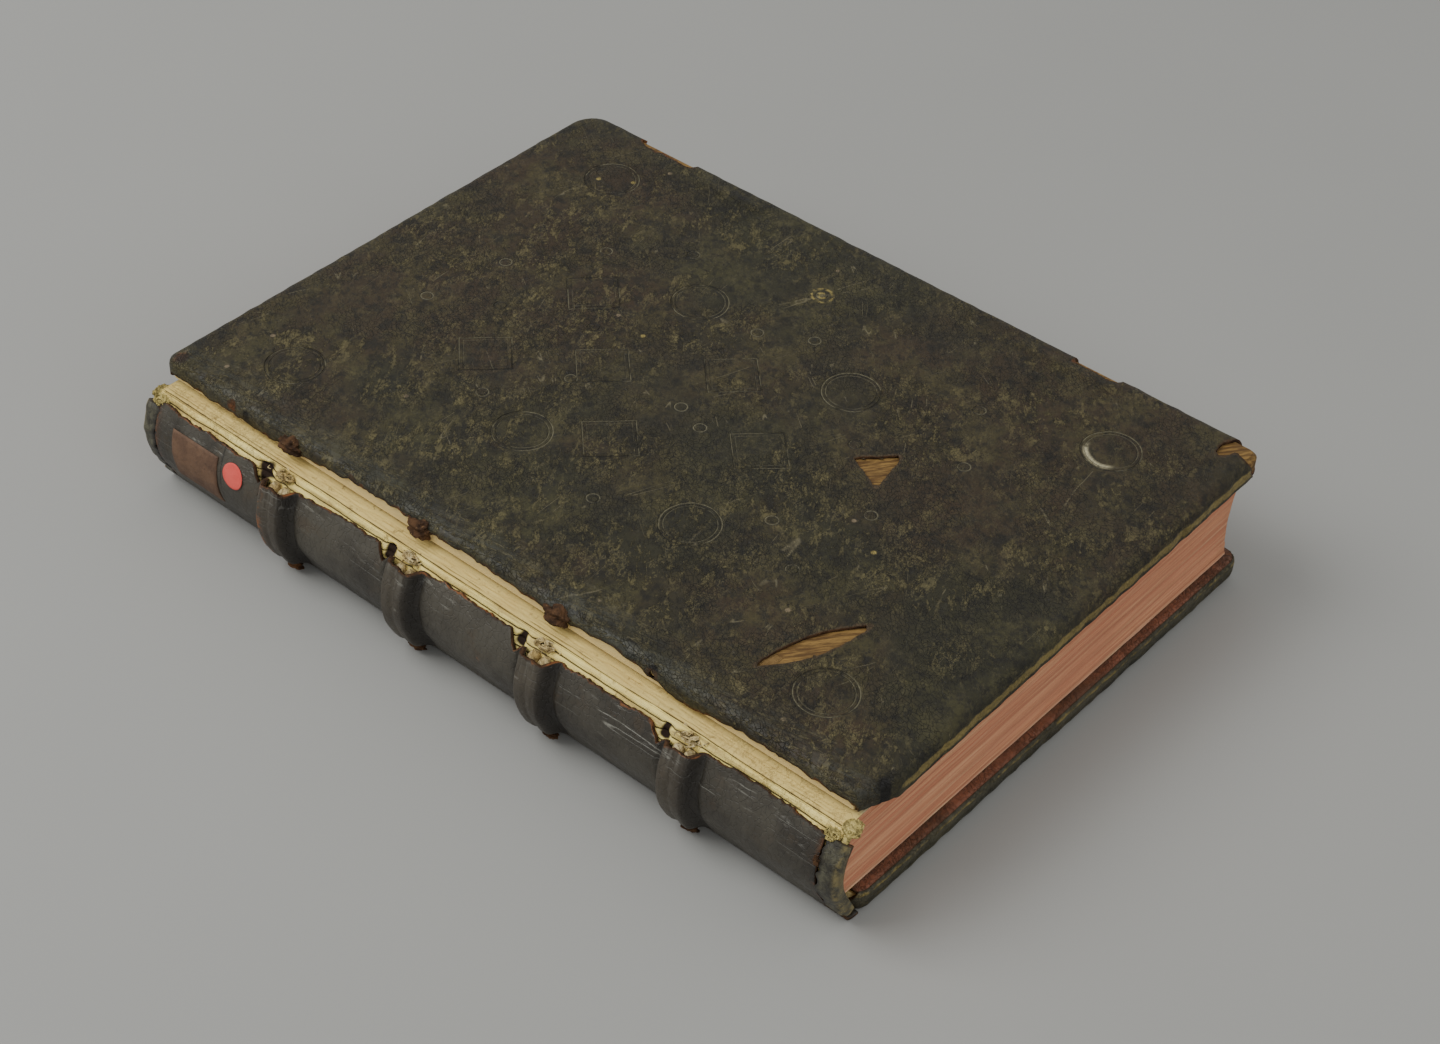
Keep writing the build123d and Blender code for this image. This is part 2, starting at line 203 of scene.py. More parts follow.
def points_at(x: Array, y: Array, z: Array) -> Array:
    """Points with these coordinates, each spread over the rows and columns that it lacks."""
    return np.stack(np.broadcast_arrays(x, y, z), -1)


def round_turn(count: int) -> Array:
    """Angles that divide a full turn evenly."""
    return np.linspace(0, FULL_TURN, count, endpoint=False)


class Shell:
    """Points and faces of one piece, gathered part by part."""

    def __init__(self) -> None:
        """Starts empty."""
        self.points: list[Array] = []
        self.faces: list[Array] = []
        self.marks: dict[str, list[Array]] = {}
        self.count = 0

    def add(self, points: Array, faces: list[Array] | Array, **marks: Array | float) -> None:
        """Adds one part.

        Args:
            points: Points of the part, any shape that ends in 3, in millimetres.
            faces: One array of faces, or several with different numbers of corners.
            marks: Numbers that spread over the points, by the names of their attributes.
        """
        points = np.asarray(points, float)
        flat = points.reshape(-1, 3)
        for part in faces if isinstance(faces, list) else [faces]:
            self.faces.append(part + self.count)
        for name in {**self.marks, **marks}:
            earlier = self.marks.setdefault(name, [np.zeros(self.count)] if self.count else [])
            value = np.asarray(marks.get(name, 0.0), float)
            earlier.append(np.broadcast_to(value, points.shape[:-1]).reshape(-1))
        self.points.append(flat)
        self.count += len(flat)

    def make(self, name: str, creased: float = 40.0) -> bpy.types.Object:
        """Puts the parts into one smooth mesh object at the origin.

        Args:
            name: Name of the piece.
            creased: Angle in degrees above which an edge stays sharp.

        Returns:
            The new object.
        """
        points = np.concatenate(self.points)
        used = np.zeros(len(points), bool)
        for part in self.faces:
            used[part.reshape(-1)] = True
        renumber = np.cumsum(used) - 1
        mesh = bpy.data.meshes.new(name)
        faces = [face for part in self.faces for face in renumber[part].tolist()]
        mesh.from_pydata((points[used] * MM).tolist(), [], faces)
        for mark, values in self.marks.items():
            layer = mesh.attributes.new(mark, "FLOAT", "POINT")
            layer.data.foreach_set("value", np.concatenate(values)[used].astype(np.float32))
        mesh.validate()
        piece = bpy.data.objects.new(name, mesh)
        bpy.context.scene.collection.objects.link(piece)
        mesh.polygons.foreach_set("use_smooth", np.ones(len(mesh.polygons), bool))
        mesh.set_sharp_from_angle(angle=math.radians(creased))
        return piece


def nearest_on(outline: Array, points: Array) -> tuple[Array, Array]:
    """Distance to a closed outline, negative inside, and the nearest place on it.

    The nearest place of a side is the point's foot on it, kept between the side's ends, and the
    side with the smallest distance counts. A point is inside where a ray from it crosses the
    outline an odd number of times.

    Args:
        outline: Corners of the outline, one row each.
        points: Points in the same plane, one row each.

    Returns:
        The distance for each point and its nearest place.
    """
    distance = np.full(len(points), np.inf)
    place = np.zeros_like(points)
    inside = np.zeros(len(points), bool)
    for start, end in zip(outline, np.roll(outline, -1, axis=0)):
        side = end - start
        share = np.clip(((points - start) @ side) / max(side @ side, 1e-12), 0, 1)
        foot = start + share[:, None] * side
        gap = np.hypot(*(points - foot).T)
        closer = gap < distance
        distance[closer] = gap[closer]
        place[closer] = foot[closer]
        passes = (start[1] > points[:, 1]) != (end[1] > points[:, 1])
        rise = side[1] if abs(side[1]) > 1e-12 else 1e-12
        crossing = start[0] + (points[:, 1] - start[1]) * side[0] / rise
        inside ^= passes & (points[:, 0] < crossing)
    return np.where(inside, -distance, distance), place


def rounded(corners: list[tuple[float, float, float]], steps: int = 8) -> Array:
    """A closed outline with an arc at each corner.

    The arc touches both sides of its corner, and its points turn evenly from one to the other.

    Args:
        corners: Place and radius of each corner, counter-clockwise.
        steps: Points on each arc.

    Returns:
        Points of the outline.
    """
    places = np.array([corner[:2] for corner in corners], float)
    parts = []
    for i, (_, _, radius) in enumerate(corners):
        here = places[i]
        back = places[i - 1] - here
        on = places[(i + 1) % len(places)] - here
        back, on = back / np.hypot(*back), on / np.hypot(*on)
        half = math.acos(float(np.clip(back @ on, -1, 1))) / 2
        middle = here + (back + on) / np.hypot(*(back + on)) * radius / math.sin(half)
        first = here + back * radius / math.tan(half) - middle
        turn = np.linspace(0, math.pi - 2 * half, steps)
        cos, sin = np.cos(turn), np.sin(turn)
        arc = np.stack((first[0] * cos - first[1] * sin, first[0] * sin + first[1] * cos), -1)
        parts.append(middle + arc)
    return np.concatenate(parts)


def tubes(paths: Array, radii: Array, sides: int) -> tuple[Array, list[Array]]:
    """Many tubes with closed ends: a ring of points stands square to the path at each step.

    Args:
        paths: Threads by steps by 3, the middle lines.
        radii: Threads by steps, how thick each is.
        sides: Points round a tube.

    Returns:
        The points and the faces.
    """
    count, steps = paths.shape[:2]
    ahead = np.gradient(paths, axis=1)
    ahead /= np.linalg.norm(ahead, axis=-1, keepdims=True) + 1e-9
    aside = np.cross(ahead, LEAN)
    aside /= np.linalg.norm(aside, axis=-1, keepdims=True) + 1e-9
    upward = np.cross(ahead, aside)
    turn = round_turn(sides)
    ring = np.cos(turn)[:, None] * aside[:, :, None] + np.sin(turn)[:, None] * upward[:, :, None]
    points = paths[:, :, None] + radii[:, :, None, None] * ring
    shift = (np.arange(count) * steps * sides)[:, None, None]
    parts = capped_faces(steps, sides, flipped=False)
    return points, [(part + shift).reshape(-1, part.shape[1]) for part in parts]


def spine_place(angle: Array, radius: Array) -> tuple[Array, Array]:
    """A point of the rounded back's section, by its angle in degrees from +X and its radius."""
    turn = np.radians(angle)
    return SPINE_X + radius * np.cos(turn), SPINE_Z + radius * np.sin(turn)


def down_the_back(length: Array, top_angle: Array, radius: Array) -> tuple[Array, Array]:
    """A path from the foot of the spine covering, straight, and then round the back to its top.

    Args:
        length: Share of the way, 0 at the foot's end and 1 at the top.
        top_angle: Angle at which the path ends at the top, in degrees.
        radius: Radius of the round part.

    Returns:
        X and Z of the points.
    """
    arc = np.radians(FOOT_ANGLE - top_angle) * radius
    gone = length * (FOOT_LENGTH + arc)
    on_foot = np.clip(FOOT_LENGTH - gone, 0, None)
    angle = FOOT_ANGLE - np.degrees(np.clip(gone - FOOT_LENGTH, 0, None) / radius)
    x, z = spine_place(angle, radius)
    turn = math.radians(FOOT_ANGLE)
    return x - on_foot * math.sin(turn), z + on_foot * math.cos(turn)


def band_height(place: Array) -> Array:
    """How far the leather stands above the panels: a raised band over each pair of cords.

    Each band rises with a soft step over its flank, has a shallow valley between its two cords,
    and a tight crease runs along each of its feet.
    """
    gap = np.abs(place[..., None] - SUPPORTS).min(-1)
    rise = BAND_RISE * smooth(gap, 7.6, 4.3)
    valley = 0.45 * np.exp(-((gap / 1.1) ** 2))
    crease = 0.5 * np.exp(-(((gap - 8.0) / 0.8) ** 2))
    return rise - valley - crease


class Recipe:
    """The nodes of one material, one call for each."""

    def __init__(self, name: str) -> None:
        """Makes the material with its shader.

        Args:
            name: Name of the material.
        """
        self.material = bpy.data.materials.new(name)
        self.material.use_nodes = True
        self.tree = self.material.node_tree
        self.tree.nodes.clear()
        self.shader = self.tree.nodes.new("ShaderNodeBsdfPrincipled")
        output = self.tree.nodes.new("ShaderNodeOutputMaterial")
        self.tree.links.new(self.shader.outputs["BSDF"], output.inputs["Surface"])
        self.place = self.node("TexCoord", "Object", {})

    def feed(self, socket: Socket, value: object) -> None:
        """Links a socket, or sets it."""
        if isinstance(value, bpy.types.NodeSocket):
            self.tree.links.new(value, socket)
        else:
            socket.default_value = value

    def node(self, kind: str, output: str | int, inputs: dict, **choices: str) -> Socket:
        """Adds a node.

        Args:
            kind: Its type, without the words that all types start with.
            output: Name or number of the output that is wanted.
            inputs: What goes into its sockets, by their names or numbers.
            choices: Its own settings.

        Returns:
            The output.
        """
        node = self.tree.nodes.new("ShaderNode" + kind)
        for name, choice in choices.items():
            setattr(node, name, choice)
        for key, value in inputs.items():
            self.feed(node.inputs[key], value)
        return node.outputs[output]

    def math(self, operation: str, *values: object) -> Socket:
        """A sum of numbers, as the Math node has them."""
        return self.node("Math", 0, dict(enumerate(values)), operation=operation)

    def vector(self, operation: str, *values: object) -> Socket:
        """A sum of vectors, as the Vector Math node has them."""
        output = "Value" if operation in ("DISTANCE", "DOT_PRODUCT") else "Vector"
        return self.node("VectorMath", output, dict(enumerate(values)), operation=operation)

    def attribute(self, name: str) -> Socket:
        """A number that the mesh carries."""
        return self.node("Attribute", "Fac", {}, attribute_name=name)

    def stretched(
        self, scale: tuple[float, float, float], turn: float = 0.0, source: Socket | None = None
    ) -> Socket:
        """Coordinates turned about +Z by degrees, then stretched."""
        inputs = {"Vector": source or self.place, "Rotation": (0, 0, math.radians(turn))}
        return self.vector("MULTIPLY", self.node("Mapping", "Vector", inputs), scale)

    def noise(
        self, scale: float, detail: float = 4.0, rough: float = 0.55, source: Socket | None = None
    ) -> Socket:
        """A cloudy pattern about 0.5."""
        inputs = {"Vector": source or self.place, "Scale": scale}
        return self.node("TexNoise", "Fac", inputs | {"Detail": detail, "Roughness": rough})

    def warped(self, amount: float, scale: float, source: Socket | None = None) -> Socket:
        """Coordinates pushed about by a cloudy pattern, by up to about half the amount."""
        start = source or self.place
        cloud = self.node("TexNoise", "Color", {"Vector": start, "Scale": scale})
        push = self.vector("SUBTRACT", cloud, (0.5, 0.5, 0.5))
        return self.vector("ADD", start, self.vector("MULTIPLY", push, (amount, amount, amount)))

    def cells(self, scale: float, source: Socket | None = None, edges: bool = True) -> Socket:
        """Distance to the edges, or to the middles, of scattered cells."""
        inputs = {"Vector": source or self.place, "Scale": scale}
        feature = "DISTANCE_TO_EDGE" if edges else "F1"
        return self.node("TexVoronoi", "Distance", inputs, feature=feature)

    def step(
        self, value: Socket, low: float, high: float, least: float = 0.0, most: float = 1.0
    ) -> Socket:
        """A soft step from least at low to most at high, which may be below low."""
        numbers = (high, low, most, least) if low > high else (low, high, least, most)
        inputs = dict(enumerate((value, *numbers)))
        return self.node("MapRange", 0, inputs, interpolation_type="SMOOTHSTEP")

    def gap(self, value: Socket, level: float) -> Socket:
        """How far a number is from a level."""
        return self.math("ABSOLUTE", self.math("SUBTRACT", value, level))

    def lines(self, pattern: Socket, width: float) -> Socket:
        """1 along the thin contour where a pattern passes 0.5, and 0 away from it."""
        return self.step(self.gap(pattern, 0.5), width, 0.0)

    def blend(self, share: object, first: object, second: object) -> Socket:
        """Two colours mixed."""
        return self.node("Mix", 2, {0: share, 6: first, 7: second}, data_type="RGBA")

    def product(self, *values: object) -> Socket:
        """Numbers multiplied."""
        result = values[0]
        for value in values[1:]:
            result = self.math("MULTIPLY", result, value)
        return result

    def total(self, *values: object) -> Socket:
        """Numbers added."""
        result = values[0]
        for value in values[1:]:
            result = self.math("ADD", result, value)
        return result

    def coat(self, under: object, colour: object, *shares: object) -> Socket:
        """A colour laid over another, as strongly as the shares multiplied."""
        return self.blend(self.product(*shares), under, colour)

    def weighed(self, base: object, *parts: tuple[Socket, float]) -> Socket:
        """A number with others added to it, each times its weight."""
        return self.total(base, *(self.product(part, weight) for part, weight in parts))

    def axis(self, index: int) -> Socket:
        """One of the object's coordinates, in metres."""
        return self.vector("DOT_PRODUCT", self.place, [float(k == index) for k in range(3)])

    def uneven(self, scale: float, amount: float) -> Socket:
        """A fine pattern about 0, which makes an edge ragged."""
        cloud = self.noise(scale, 5, 0.75)
        return self.product(self.math("SUBTRACT", cloud, 0.5), amount)

    def finish(
        self, tint: Socket, roughness: Socket, specular: float, height: Socket, depth: float
    ) -> None:
        """Ends the material: colour, dullness, sheen, and fine relief with its depth in metres."""
        self.set("Base Color", tint)
        self.set("Roughness", roughness)
        self.set("Specular IOR Level", specular)
        inputs = {"Strength": 1.0, "Distance": depth, "Height": height}
        self.set("Normal", self.node("Bump", "Normal", inputs))

    def set(self, name: str, value: object) -> None:
        """Sets or links one of the shader's sockets."""
        self.feed(self.shader.inputs[name], value)


@dataclass(frozen=True)
class Finish:
    """The look of one material. Each kind lays its own colours and relief."""

    name: str

    def make(self) -> bpy.types.Material:
        """Makes the material."""
        recipe = Recipe(self.name)
        self.lay(recipe)
        return recipe.material

    def lay(self, r: Recipe) -> None:
        """Lays the colours and the relief."""
        raise NotImplementedError


@dataclass(frozen=True)
class CoverLeather(Finish):
    """Dark olive brown leather, scuffed, crackled and blind tooled."""

    name: str = "cover_leather"
    dark: Colour = paint(46, 44, 26)
    deep: Colour = paint(24, 22, 15)
    olive: Colour = paint(74, 70, 38)
    brown: Colour = paint(60, 45, 27)
    worn: Colour = paint(118, 109, 72)
    blue: Colour = paint(82, 84, 76)
    rust: Colour = paint(122, 74, 40)
    yellow: Colour = paint(150, 132, 72)
    lining: Colour = paint(150, 96, 72)
    gilt: Colour = paint(168, 150, 84)
    scratched: Colour = paint(122, 114, 86)
    dotted: Colour = paint(150, 132, 104)
    side_wall_light: Colour = paint(90, 87, 70)
    margin: Colour = paint(112, 76, 56)
    core: Colour = paint(80, 64, 42)
    frayed: Colour = paint(70, 54, 36)
    tool_line: Colour = paint(124, 118, 92)
    black: Colour = paint(14, 10, 8)
    scrap_dark: Colour = paint(50, 34, 22)
    scrap_pale: Colour = paint(112, 70, 40)
    bared: Colour = paint(206, 197, 160)
    tooled: bool = True

    def lay(self, r: Recipe) -> None:
        """Lays the colours and the relief."""
        slow = r.noise(12, 4, 0.55)
        patch = r.noise(50, 6, 0.7)
        mottle = r.noise(150, 6, 0.72, r.warped(0.006, 60))
        fine = r.noise(560, 5, 0.75)
        tint = r.coat(self.dark, self.brown, r.step(slow, 0.42, 0.6), 0.7)
        reds = r.step(r.noise(24, 5, 0.62, r.stretched((1, 1, 1), 40)), 0.53, 0.68)
        tint = r.coat(tint, self.brown, reds, 0.6)
        tint = r.coat(tint, self.olive, r.step(patch, 0.46, 0.6), 0.5)
        tint = r.coat(tint, self.deep, r.step(mottle, 0.52, 0.36), 0.8)
        slanting = r.warped(0.006, 130, r.stretched((1, 0.5, 1), 55))
        flakes = r.step(r.noise(230, 10, 0.82, slanting), 0.51, 0.55)
        zones = r.step(r.noise(26, 5, 0.7, r.stretched((1, 1.3, 1), 20)), 0.4, 0.6, 0.18, 1.0)
        scuff = r.product(flakes, zones)
        tint = r.coat(tint, self.worn, scuff, 0.52)
        pits = r.step(r.noise(300, 8, 0.8, r.stretched((1, 0.6, 1), 30)), 0.48, 0.42)
        tint = r.coat(tint, self.deep, pits, 0.68)
        veins = r.noise(110, 7, 0.8, r.stretched((1, 0.5, 1), 62))
        pale = r.step(r.gap(veins, 0.44), 0.013, 0.004)
        tint = r.coat(tint, self.worn, pale, zones, 0.75)
        cracks = r.lines(veins, 0.014)
        cracks = r.product(cracks, r.step(r.noise(26, 3), 0.38, 0.56))
        tint = r.coat(tint, self.deep, cracks, 0.75)
        scratch = self._scratches(r)
        tint = r.coat(tint, self.scratched, scratch, 0.6)
        dots = r.step(r.cells(62, edges=False), 0.075, 0.045)
        dots = r.product(dots, r.step(r.noise(45, 2), 0.5, 0.56))
        tint = r.coat(tint, self.dotted, dots, 0.6)
        netted = r.warped(0.004, 200, r.stretched((1, 0.6, 1), 30))
        crackle = r.step(r.cells(720, netted), 0.06, 0.0)
        crackle = r.product(crackle, r.step(r.noise(34, 3), 0.42, 0.56))
        tint = r.coat(tint, self.deep, crackle, 0.5)
        joint = r.attribute("joint")
        wrinkles = r.lines(r.noise(190, 4, 0.65, r.stretched((1, 0.16, 1), -9)), 0.022)
        wrinkles = r.product(wrinkles, r.step(joint, 0.05, 0.7))
        # Painted sheen: bluish streaks near the joint stand in for light reflected off the leather.
        sheen = r.step(r.noise(240, 5, 0.75, r.stretched((1, 0.1, 1), -8)), 0.4, 0.62)
        tint = r.coat(tint, self.blue, r.step(joint, 0.2, 0.95), sheen, 0.42)
        tint = r.coat(tint, self.worn, wrinkles, 0.42)
        height = r.weighed(r.product(fine, 0.22), (scuff, 0.3), (scratch, -0.35), (patch, 0.5))
        height = r.weighed(height, (crackle, -0.5), (wrinkles, 0.5), (mottle, 0.45))
        if self.tooled:
            tint, pressed = self._tooling(r, tint, mottle)
            height = r.total(height, pressed)
        # Painted light: the back cover's side wall, turned away from the lights, is made paler.
        tint = r.coat(tint, self.side_wall_light, r.attribute("side"), 0.6)
        broken = r.product(r.attribute("rim"), r.total(r.noise(120, 8, 0.8), 0.3))
        rubbed = r.step(broken, 0.54, 0.68)
        tint = r.coat(tint, self.yellow, rubbed, 0.72)
        inner = r.blend(r.step(patch, 0.35, 0.65), self.lining, self.margin)
        tint = r.blend(r.attribute("inner"), tint, inner)
        uneven = r.uneven(260, 1.3)
        cut = r.step(r.total(r.attribute("cut"), uneven), 0.5, 0.8)
        tint = r.coat(tint, self.core, cut, 0.85)
        torn = r.step(r.total(r.attribute("torn"), uneven), 0.5, 0.85)
        rust = r.blend(r.step(r.noise(70, 5, 0.7), 0.5, 0.6), self.frayed, self.rust)
        tint = r.coat(tint, rust, torn, 0.9)
        tint = r.blend(r.step(fine, 0.35, 0.7, 0.0, 0.36), tint, self.deep)
        rough = r.weighed(0.46, (scuff, 0.22), (r.step(fine, 0.3, 0.7), 0.12), (torn, 0.25))
        r.finish(tint, rough, 0.34, height, 0.0007)

    def _scratches(self, r: Recipe) -> Socket:
        """Fine pale scratches: thin contours of stretched clouds, broken by other clouds."""
        found = []
        kinds = ((-66, 70, 0.004), (56, 95, 0.005), (84, 80, 0.005), (36, 130, 0.006))
        for turn, scale, width in kinds:
            source = r.stretched((1, 0.05, 1), turn, r.warped(0.002, 20))
            line = r.lines(r.noise(scale, 1, 0.5, source), width)
            found.append(r.product(line, r.step(r.noise(scale * 0.7, 3, 0.6), 0.57, 0.62)))
        result = found[0]
        for other in found[1:]:
            result = r.math("MAXIMUM", result, other)
        return result

    def _tooling(self, r: Recipe, tint: Socket, mottle: Socket) -> tuple[Socket, Socket]:
        """Blind tooling of a common kind: roundels with double rings, lozenges and small rings.

        Args:
            r: The recipe that gets the nodes.
            tint: Colour of the leather.
            mottle: The pattern that mottles it.

        Returns:
            The colour with the tooling on it, and the tooling's relief.
        """
        flat = r.vector("MULTIPLY", r.place, (1, 1, 0))

        def centre(u: float, v: float) -> tuple[float, float, float]:
            """A place on the cover, in the row frame."""
            return ((JOINT_X + u) * MM, (v - BOOK_HEIGHT / 2) * MM, 0.0)

        def closest(places: tuple[tuple[float, float], ...], lozenge: bool = False) -> Socket:
            """Distance to the nearest of these places, straight or as a lozenge counts it."""
            found = None
            for u, v in places:
                if lozenge:
                    gap = r.vector("ABSOLUTE", r.vector("SUBTRACT", flat, centre(u, v)))
                    gap = r.vector("DOT_PRODUCT", gap, (1, 1, 0))
                else:
                    gap = r.vector("DISTANCE", flat, centre(u, v))
                found = gap if found is None else r.math("MINIMUM", found, gap)
            return found

        def ring(gap: Socket, radius: float, width: float) -> Socket:
            """1 on a line at a distance from the nearest middle."""
            return r.step(r.gap(gap, radius * MM), width * MM, 0.0)

        big = closest(Tooling.ROUNDELS.value + Tooling.INNER_ROUNDELS.value)
        square = closest(Tooling.LOZENGES.value, lozenge=True)
        small = closest(Tooling.RINGS.value)
        lines = r.math("MAXIMUM", ring(big, 10.3, 0.5), r.product(ring(big, 8.9, 0.4), 0.6))
        lines = r.math("MAXIMUM", lines, ring(square, 13.0, 0.55))
        lines = r.math("MAXIMUM", lines, r.product(ring(square, 10.9, 0.45), 0.35))
        lines = r.math("MAXIMUM", lines, r.product(ring(small, 2.2, 0.5), 0.9))
        disc = r.step(big, 10.6 * MM, 9.4 * MM)
        broken = r.step(r.noise(64, 5, 0.65), 0.42, 0.54)
        tint = r.coat(tint, self.deep, disc, 0.14)
        tint = r.coat(tint, self.deep, lines, r.math("SUBTRACT", 1.0, broken), 0.5)
        tint = r.coat(tint, self.tool_line, lines, broken, 0.9)
        # Black spots: worm holes by the spine edge, and painted shade at the tail's cut corner.
        gone = r.step(closest(Tooling.HOLES_AND_CORNER_SHADE.value), 2.4 * MM, 1.5 * MM)
        scrap = r.weighed(closest(Tooling.SCRAP.value), (r.noise(300, 4, 0.7), 0.004))
        scrap = r.step(scrap, 5.4 * MM, 3.6 * MM)
        ragged_leather = r.blend(r.step(mottle, 0.44, 0.56), self.scrap_dark, self.scrap_pale)
        tint = r.coat(tint, ragged_leather, scrap, 0.9)
        tint = r.coat(tint, self.black, gone, 0.95)
        gilding = closest(Tooling.GILT_RING.value)
        gilt = r.math("MAXIMUM", ring(gilding, 3.9, 0.9), ring(gilding, 1.5, 0.9))
        gilt = r.product(gilt, r.step(r.noise(420, 4, 0.7), 0.42, 0.56))
        bare = ring(closest(Tooling.BARE_ROUNDEL.value), 8.7, 1.5)
        crescent = r.step(closest(Tooling.BARE_SIDE.value), 9.5 * MM, 5 * MM)
        crescent = r.product(bare, crescent, r.step(r.noise(300, 4, 0.7), 0.34, 0.5))
        spots = r.step(closest(Tooling.GILT_SPOTS.value), 1.2 * MM, 0.5 * MM)
        tint = r.coat(tint, self.gilt, r.math("MAXIMUM", gilt, spots), 0.8)
        tint = r.coat(tint, self.bared, crescent, 0.85)
        return tint, r.total(r.product(lines, -1.1), r.product(disc, -0.25))


class Tooling(Enum):
    """Places of the tools on the front cover, (u, v) in millimetres."""

    ROUNDELS = ((27.3, 272.7), (186.4, 270.2), (180.8, 38.5), (27.0, 38.0))
    INNER_ROUNDELS = ((54.4, 190.7), (57.0, 118.4), (150.0, 194.5), (146.0, 122.5))
    LOZENGES = (
        *((76.5, 229.5), (128.0, 226.0), (125.5, 158.5)),
        *((71.5, 166.5), (100.5, 125.5), (99.0, 195.0)),
    )
    RINGS = (
        *((100.0, 245.0), (113.0, 212.0), (86.0, 198.0), (150.0, 168.0), (100.0, 160.0)),
        *((96.0, 148.0), (45.0, 150.0), (160.0, 150.0), (76.0, 100.0), (125.0, 104.0)),
        *((60.0, 215.0), (150.0, 240.0), (170.0, 215.0), (120.0, 262.0), (86.0, 268.0)),
        *((140.0, 70.0), (168.0, 84.0), (100.0, 78.0), (62.0, 80.0), (182.7, 164.7)),
    )
    GILT_RING = ((182.7, 164.7),)
    GILT_SPOTS = ((183.0, 274.0), (190.5, 263.0), (121.0, 196.0), (86.0, 66.0))
    BARE_ROUNDEL = ((180.8, 38.5),)
    BARE_SIDE = ((172.8, 41.5),)
    # Two worm holes by the spine edge, and painted shade where the gap lies under the cut corner at
    # the tail.
    HOLES_AND_CORNER_SHADE = ((10.2, 2.4), (-1.5, 267.5), (-0.5, 84.0))
    SCRAP = ((4.0, 304.5),)


@dataclass(frozen=True)
class SpineLeather(Finish):
    """Dark grey leather of the spine, smooth on the panels and rubbed on the bands."""

    name: str = "spine_leather"
    panel: Colour = paint(74, 70, 60)
    dark: Colour = paint(48, 44, 37)
    brown: Colour = paint(76, 64, 48)
    pale: Colour = paint(156, 154, 142)
    rust: Colour = paint(130, 80, 40)
    green: Colour = paint(86, 84, 66)
    moss: Colour = paint(48, 45, 36)
    straw: Colour = paint(138, 124, 78)
    shadow: Colour = paint(27, 23, 19)
    frayed: Colour = paint(50, 38, 27)
    tool_line: Colour = paint(30, 27, 24)
    line_place: float = 113.2

    def lay(self, r: Recipe) -> None:
        """Lays the colours and the relief."""
        patch = r.noise(40, 5, 0.6)
        fine = r.noise(500, 4, 0.7)
        tint = r.blend(r.step(patch, 0.35, 0.7), self.panel, self.dark)
        tint = r.coat(tint, self.brown, r.step(r.noise(90, 6, 0.7), 0.52, 0.7), 0.5)
        band = r.attribute("band")
        tint = r.coat(tint, self.brown, r.step(band, 0.3, 0.95), 0.25)
        ribs = r.noise(900, 2, 0.5, r.stretched((0.05, 1, 0.05)))
        top = r.attribute("top")
        rubbed = r.product(r.step(band, 0.6, 1.0), r.step(ribs, 0.45, 0.65), r.step(top, 0.1, 0.9))
        tint = r.coat(tint, self.pale, rubbed, 0.16)
        streak = r.stretched((1, 0.05, 1), 2)
        scratch = r.lines(r.noise(150, 1, 0.5, streak), 0.012)
        scuffs = r.step(r.noise(500, 5, 0.75, r.stretched((1, 0.12, 1), 6)), 0.56, 0.66)
        scuffs = r.product(scuffs, r.step(r.noise(60, 4, 0.7), 0.45, 0.6), r.step(top, 0.05, 0.6))
        scratch = r.product(scratch, r.step(r.noise(40, 3), 0.5, 0.58), r.step(top, 0.04, 0.3))
        scratch = r.math("MAXIMUM", r.product(scratch, 0.8), r.product(scuffs, 0.7))
        mossy = r.blend(r.step(r.noise(240, 6, 0.75), 0.4, 0.6), self.moss, self.green)
        tint = r.coat(tint, mossy, r.attribute("cap"), 0.85)
        edge_wear = r.product(r.attribute("worn"), r.step(r.noise(150, 7, 0.78), 0.42, 0.56))
        tint = r.coat(tint, self.straw, edge_wear, 0.75)
        tint = r.coat(tint, self.pale, scratch, 0.8)
        # Painted shade: the crease attribute darkens the bands' tail sides and feet, and the ends
        # beside the caps.
        tint = r.coat(tint, self.shadow, r.attribute("crease"), 0.85)
        flecks = r.product(r.attribute("flecked"), r.step(r.noise(200, 5, 0.75), 0.47, 0.55))
        tint = r.coat(tint, self.rust, flecks, 0.95)
        specks = r.step(r.noise(190, 5, 0.8), 0.68, 0.74)
        tint = r.coat(tint, self.rust, specks, 0.7)
        torn = r.step(r.total(r.attribute("torn"), r.uneven(240, 1.4)), 0.55, 0.85)
        rust = r.blend(r.step(r.noise(66, 5, 0.7), 0.5, 0.6), self.frayed, self.rust)
        tint = r.coat(tint, rust, torn, 0.9)
        panel_line = r.step(r.gap(r.axis(1), self.line_place * MM), 0.5 * MM, 0.0)
        tint = r.coat(tint, self.tool_line, panel_line, 0.8)
        rough = r.weighed(0.42, (r.step(fine, 0.3, 0.7), 0.14), (torn, 0.3))
        crackle = r.step(r.cells(420, r.warped(0.002, 300)), 0.06, 0.0)
        height = r.weighed(r.product(fine, 0.25), (r.product(ribs, band), 0.25), (scratch, -0.5))
        height = r.weighed(height, (crackle, -0.25), (patch, 0.4))
        r.finish(tint, rough, 0.45, height, 0.0005)


